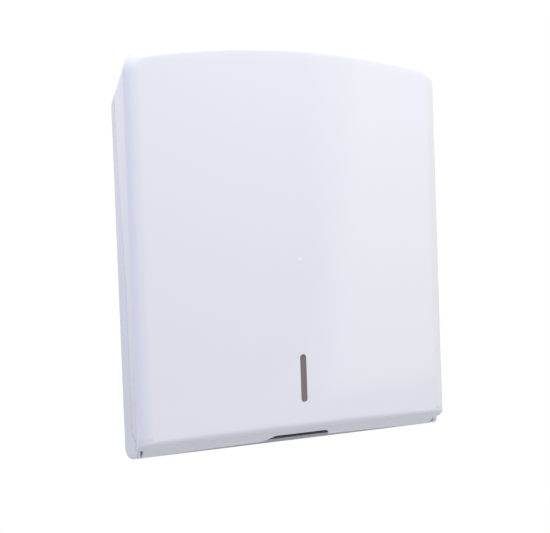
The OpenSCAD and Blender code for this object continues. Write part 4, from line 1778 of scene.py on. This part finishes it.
@dataclass(frozen=True)
class Studio:
    """White studio with soft lamps, and the camera of the picture."""

    place: Tuple[float, float, float] = (-0.1716, -0.6360, -0.0049)
    yaw: float = 16.58
    pitch: float = -1.23
    roll: float = -2.06
    lens: float = 42.08
    sensor: float = 36.0
    nearest: float = 0.01
    floor_z: float = -0.62
    floor_reach: float = 2.2
    floor_colour: Tuple[float, float, float, float] = (0.47, 0.47, 0.48, 1.0)
    floor_roughness: float = 0.9
    glow: Tuple[float, float] = (0.555, 1.40)
    glow_z: Tuple[float, float] = (-0.9, 0.9)
    front_y: Tuple[float, float] = (0.0, -0.2)
    least_ahead: float = 0.02
    dark_field: Tuple[float, float, float, float] = (-0.75, 0.40, -0.225, 0.9)
    dark_corner: float = 0.2
    dark_soft: float = 0.03
    dark_share: float = 0.5
    box_field: Tuple[float, float, float, float] = (0.445, 0.9, -0.5, 1.2)
    box_corner: float = 0.03
    box_soft: float = 0.02
    box_slant: float = 0.18
    box_glow: float = 0.7
    right_x: Tuple[float, float] = (0.5, 0.95)
    right_share: float = 0.80
    back_y: Tuple[float, float] = (0.2, 0.9)
    back_share: float = 0.84
    cool: Tuple[float, float, float] = (0.75, 0.79, 0.97)
    warm: Tuple[float, float, float] = (1.0, 0.977, 0.93)
    warm_x: Tuple[float, float] = (-0.9, 0.7)
    lamps: Tuple[Lamp, ...] = (Lamp("warm", (0.3, -0.5, 1.0), (1.0, 0.945, 0.87)),
                               Lamp("cool", (-0.1, -0.5, 1.0), (0.93, 0.97, 1.0)))

    def camera(self) -> None:
        """Set the camera: yaw to the right, then pitch, then roll about the view line."""
        yaw, pitch, roll = (math.radians(v) for v in (self.yaw, self.pitch, self.roll))
        ahead = Vector((math.sin(yaw) * math.cos(pitch), math.cos(yaw) * math.cos(pitch),
                        math.sin(pitch)))
        right = Vector((math.cos(yaw), -math.sin(yaw), 0.0))
        up = right.cross(ahead)
        turned = math.cos(roll) * right + math.sin(roll) * up
        raised = -math.sin(roll) * right + math.cos(roll) * up
        data = bpy.data.cameras.new("photo_camera")
        data.sensor_fit = "HORIZONTAL"
        data.sensor_width = self.sensor
        data.lens = self.lens
        data.clip_start = self.nearest
        made = bpy.data.objects.new("photo_camera", data)
        made.matrix_world = (Matrix.Translation(Vector(self.place))
                             @ Matrix((turned, raised, -ahead)).transposed().to_4x4())
        bpy.context.collection.objects.link(made)
        bpy.context.scene.camera = made

    def world(self) -> None:
        """Set the white room that lights the part.

        Camera rays see plain white. All other rays see a room that pales towards the top, cools
        towards the left, darkens towards the right end and the back, has a darker rounded field
        in front where the camera stands, and a softbox to the right of it. The fields lie in the
        view plane x / -y and z / -y.
        """
        world = bpy.data.worlds.new("studio_world")
        bpy.context.scene.world = world
        world.use_nodes = True
        room = Wiring(world.node_tree)
        room.nodes.clear()
        x, y, z = room.direction()
        ahead = room.maths("MAXIMUM", room.maths("MULTIPLY", y, -1.0), self.least_ahead)
        across = room.maths("DIVIDE", x, ahead)
        up = room.maths("DIVIDE", z, ahead)
        front = room.ramp(y, *self.front_y)
        dark = room.rounded(across, up, self.dark_field, self.dark_corner, self.dark_soft)
        dark = room.maths("MULTIPLY", dark, front)
        slant = room.maths("SUBTRACT", across, room.maths("MULTIPLY", up, self.box_slant))
        box = room.rounded(slant, up, self.box_field, self.box_corner, self.box_soft)
        box = room.maths("MULTIPLY", box, front)
        glow = room.ramp(z, *self.glow_z, *self.glow)
        glow = room.maths("MULTIPLY", glow, room.ramp(dark, 0.0, 1.0, 1.0, self.dark_share))
        glow = room.maths("ADD", glow, room.maths("MULTIPLY", box, self.box_glow))
        for part, places, share in ((x, self.right_x, self.right_share),
                                    (y, self.back_y, self.back_share)):
            glow = room.maths("MULTIPLY", glow, room.ramp(part, *places, 1.0, share))
        colour = room.blend(room.ramp(x, *self.warm_x), self.cool, self.warm)
        lit = room.add("ShaderNodeBackground", {"Color": colour, "Strength": glow})
        out = room.add("ShaderNodeOutputWorld")
        room.seen_white(lit.outputs["Background"], "ShaderNodeBackground", out.inputs["Surface"])

    def floor(self) -> None:
        """Add the plain pale floor, white to camera rays."""
        mesh = bpy.data.meshes.new("studio_floor")
        reach, z = self.floor_reach, self.floor_z
        mesh.from_pydata([(-reach, -reach, z), (reach, -reach, z), (reach, reach, z),
                          (-reach, reach, z)], [], [(0, 1, 2, 3)])
        made = bpy.data.objects.new("studio_floor", mesh)
        bpy.context.collection.objects.link(made)
        material = bpy.data.materials.new("studio_floor")
        material.use_nodes = True
        look = Wiring(material.node_tree)
        matt = look.nodes["Principled BSDF"]
        look.feed(matt.inputs["Base Color"], self.floor_colour)
        look.feed(matt.inputs["Roughness"], self.floor_roughness)
        out = look.nodes["Material Output"]
        look.seen_white(matt.outputs["BSDF"], "ShaderNodeEmission", out.inputs["Surface"])
        mesh.materials.append(material)

    def build(self) -> None:
        """Set up the studio."""
        self.world()
        self.floor()
        self.camera()
        for lamp in self.lamps:
            lamp.hang()


def main() -> None:
    """Build the dispenser's looks and the studio."""
    logging.basicConfig(level=logging.INFO, format="%(name)s %(message)s")
    bpy.context.scene.view_settings.view_transform = "Standard"
    form = Envelope()
    columns = Columns(form)
    fixings = Fixings()
    finishes = Finishes()
    CoverShell(form, columns).build(finishes.cover)
    RearShell(form, columns, fixings).build(finishes.rear)
    SeamRim(form, columns).build(finishes.rear)
    RearFittings(fixings).build(finishes.rear)
    CoverFittings(form).build(finishes.cover, finishes.painted_highlight_look)
    LatchSpring().build(finishes.spring)
    HousingScrews(fixings).build(finishes.screw)
    KeptNodes(finishes).build()
    Studio().build()


if __name__ == "__main__":
    main()
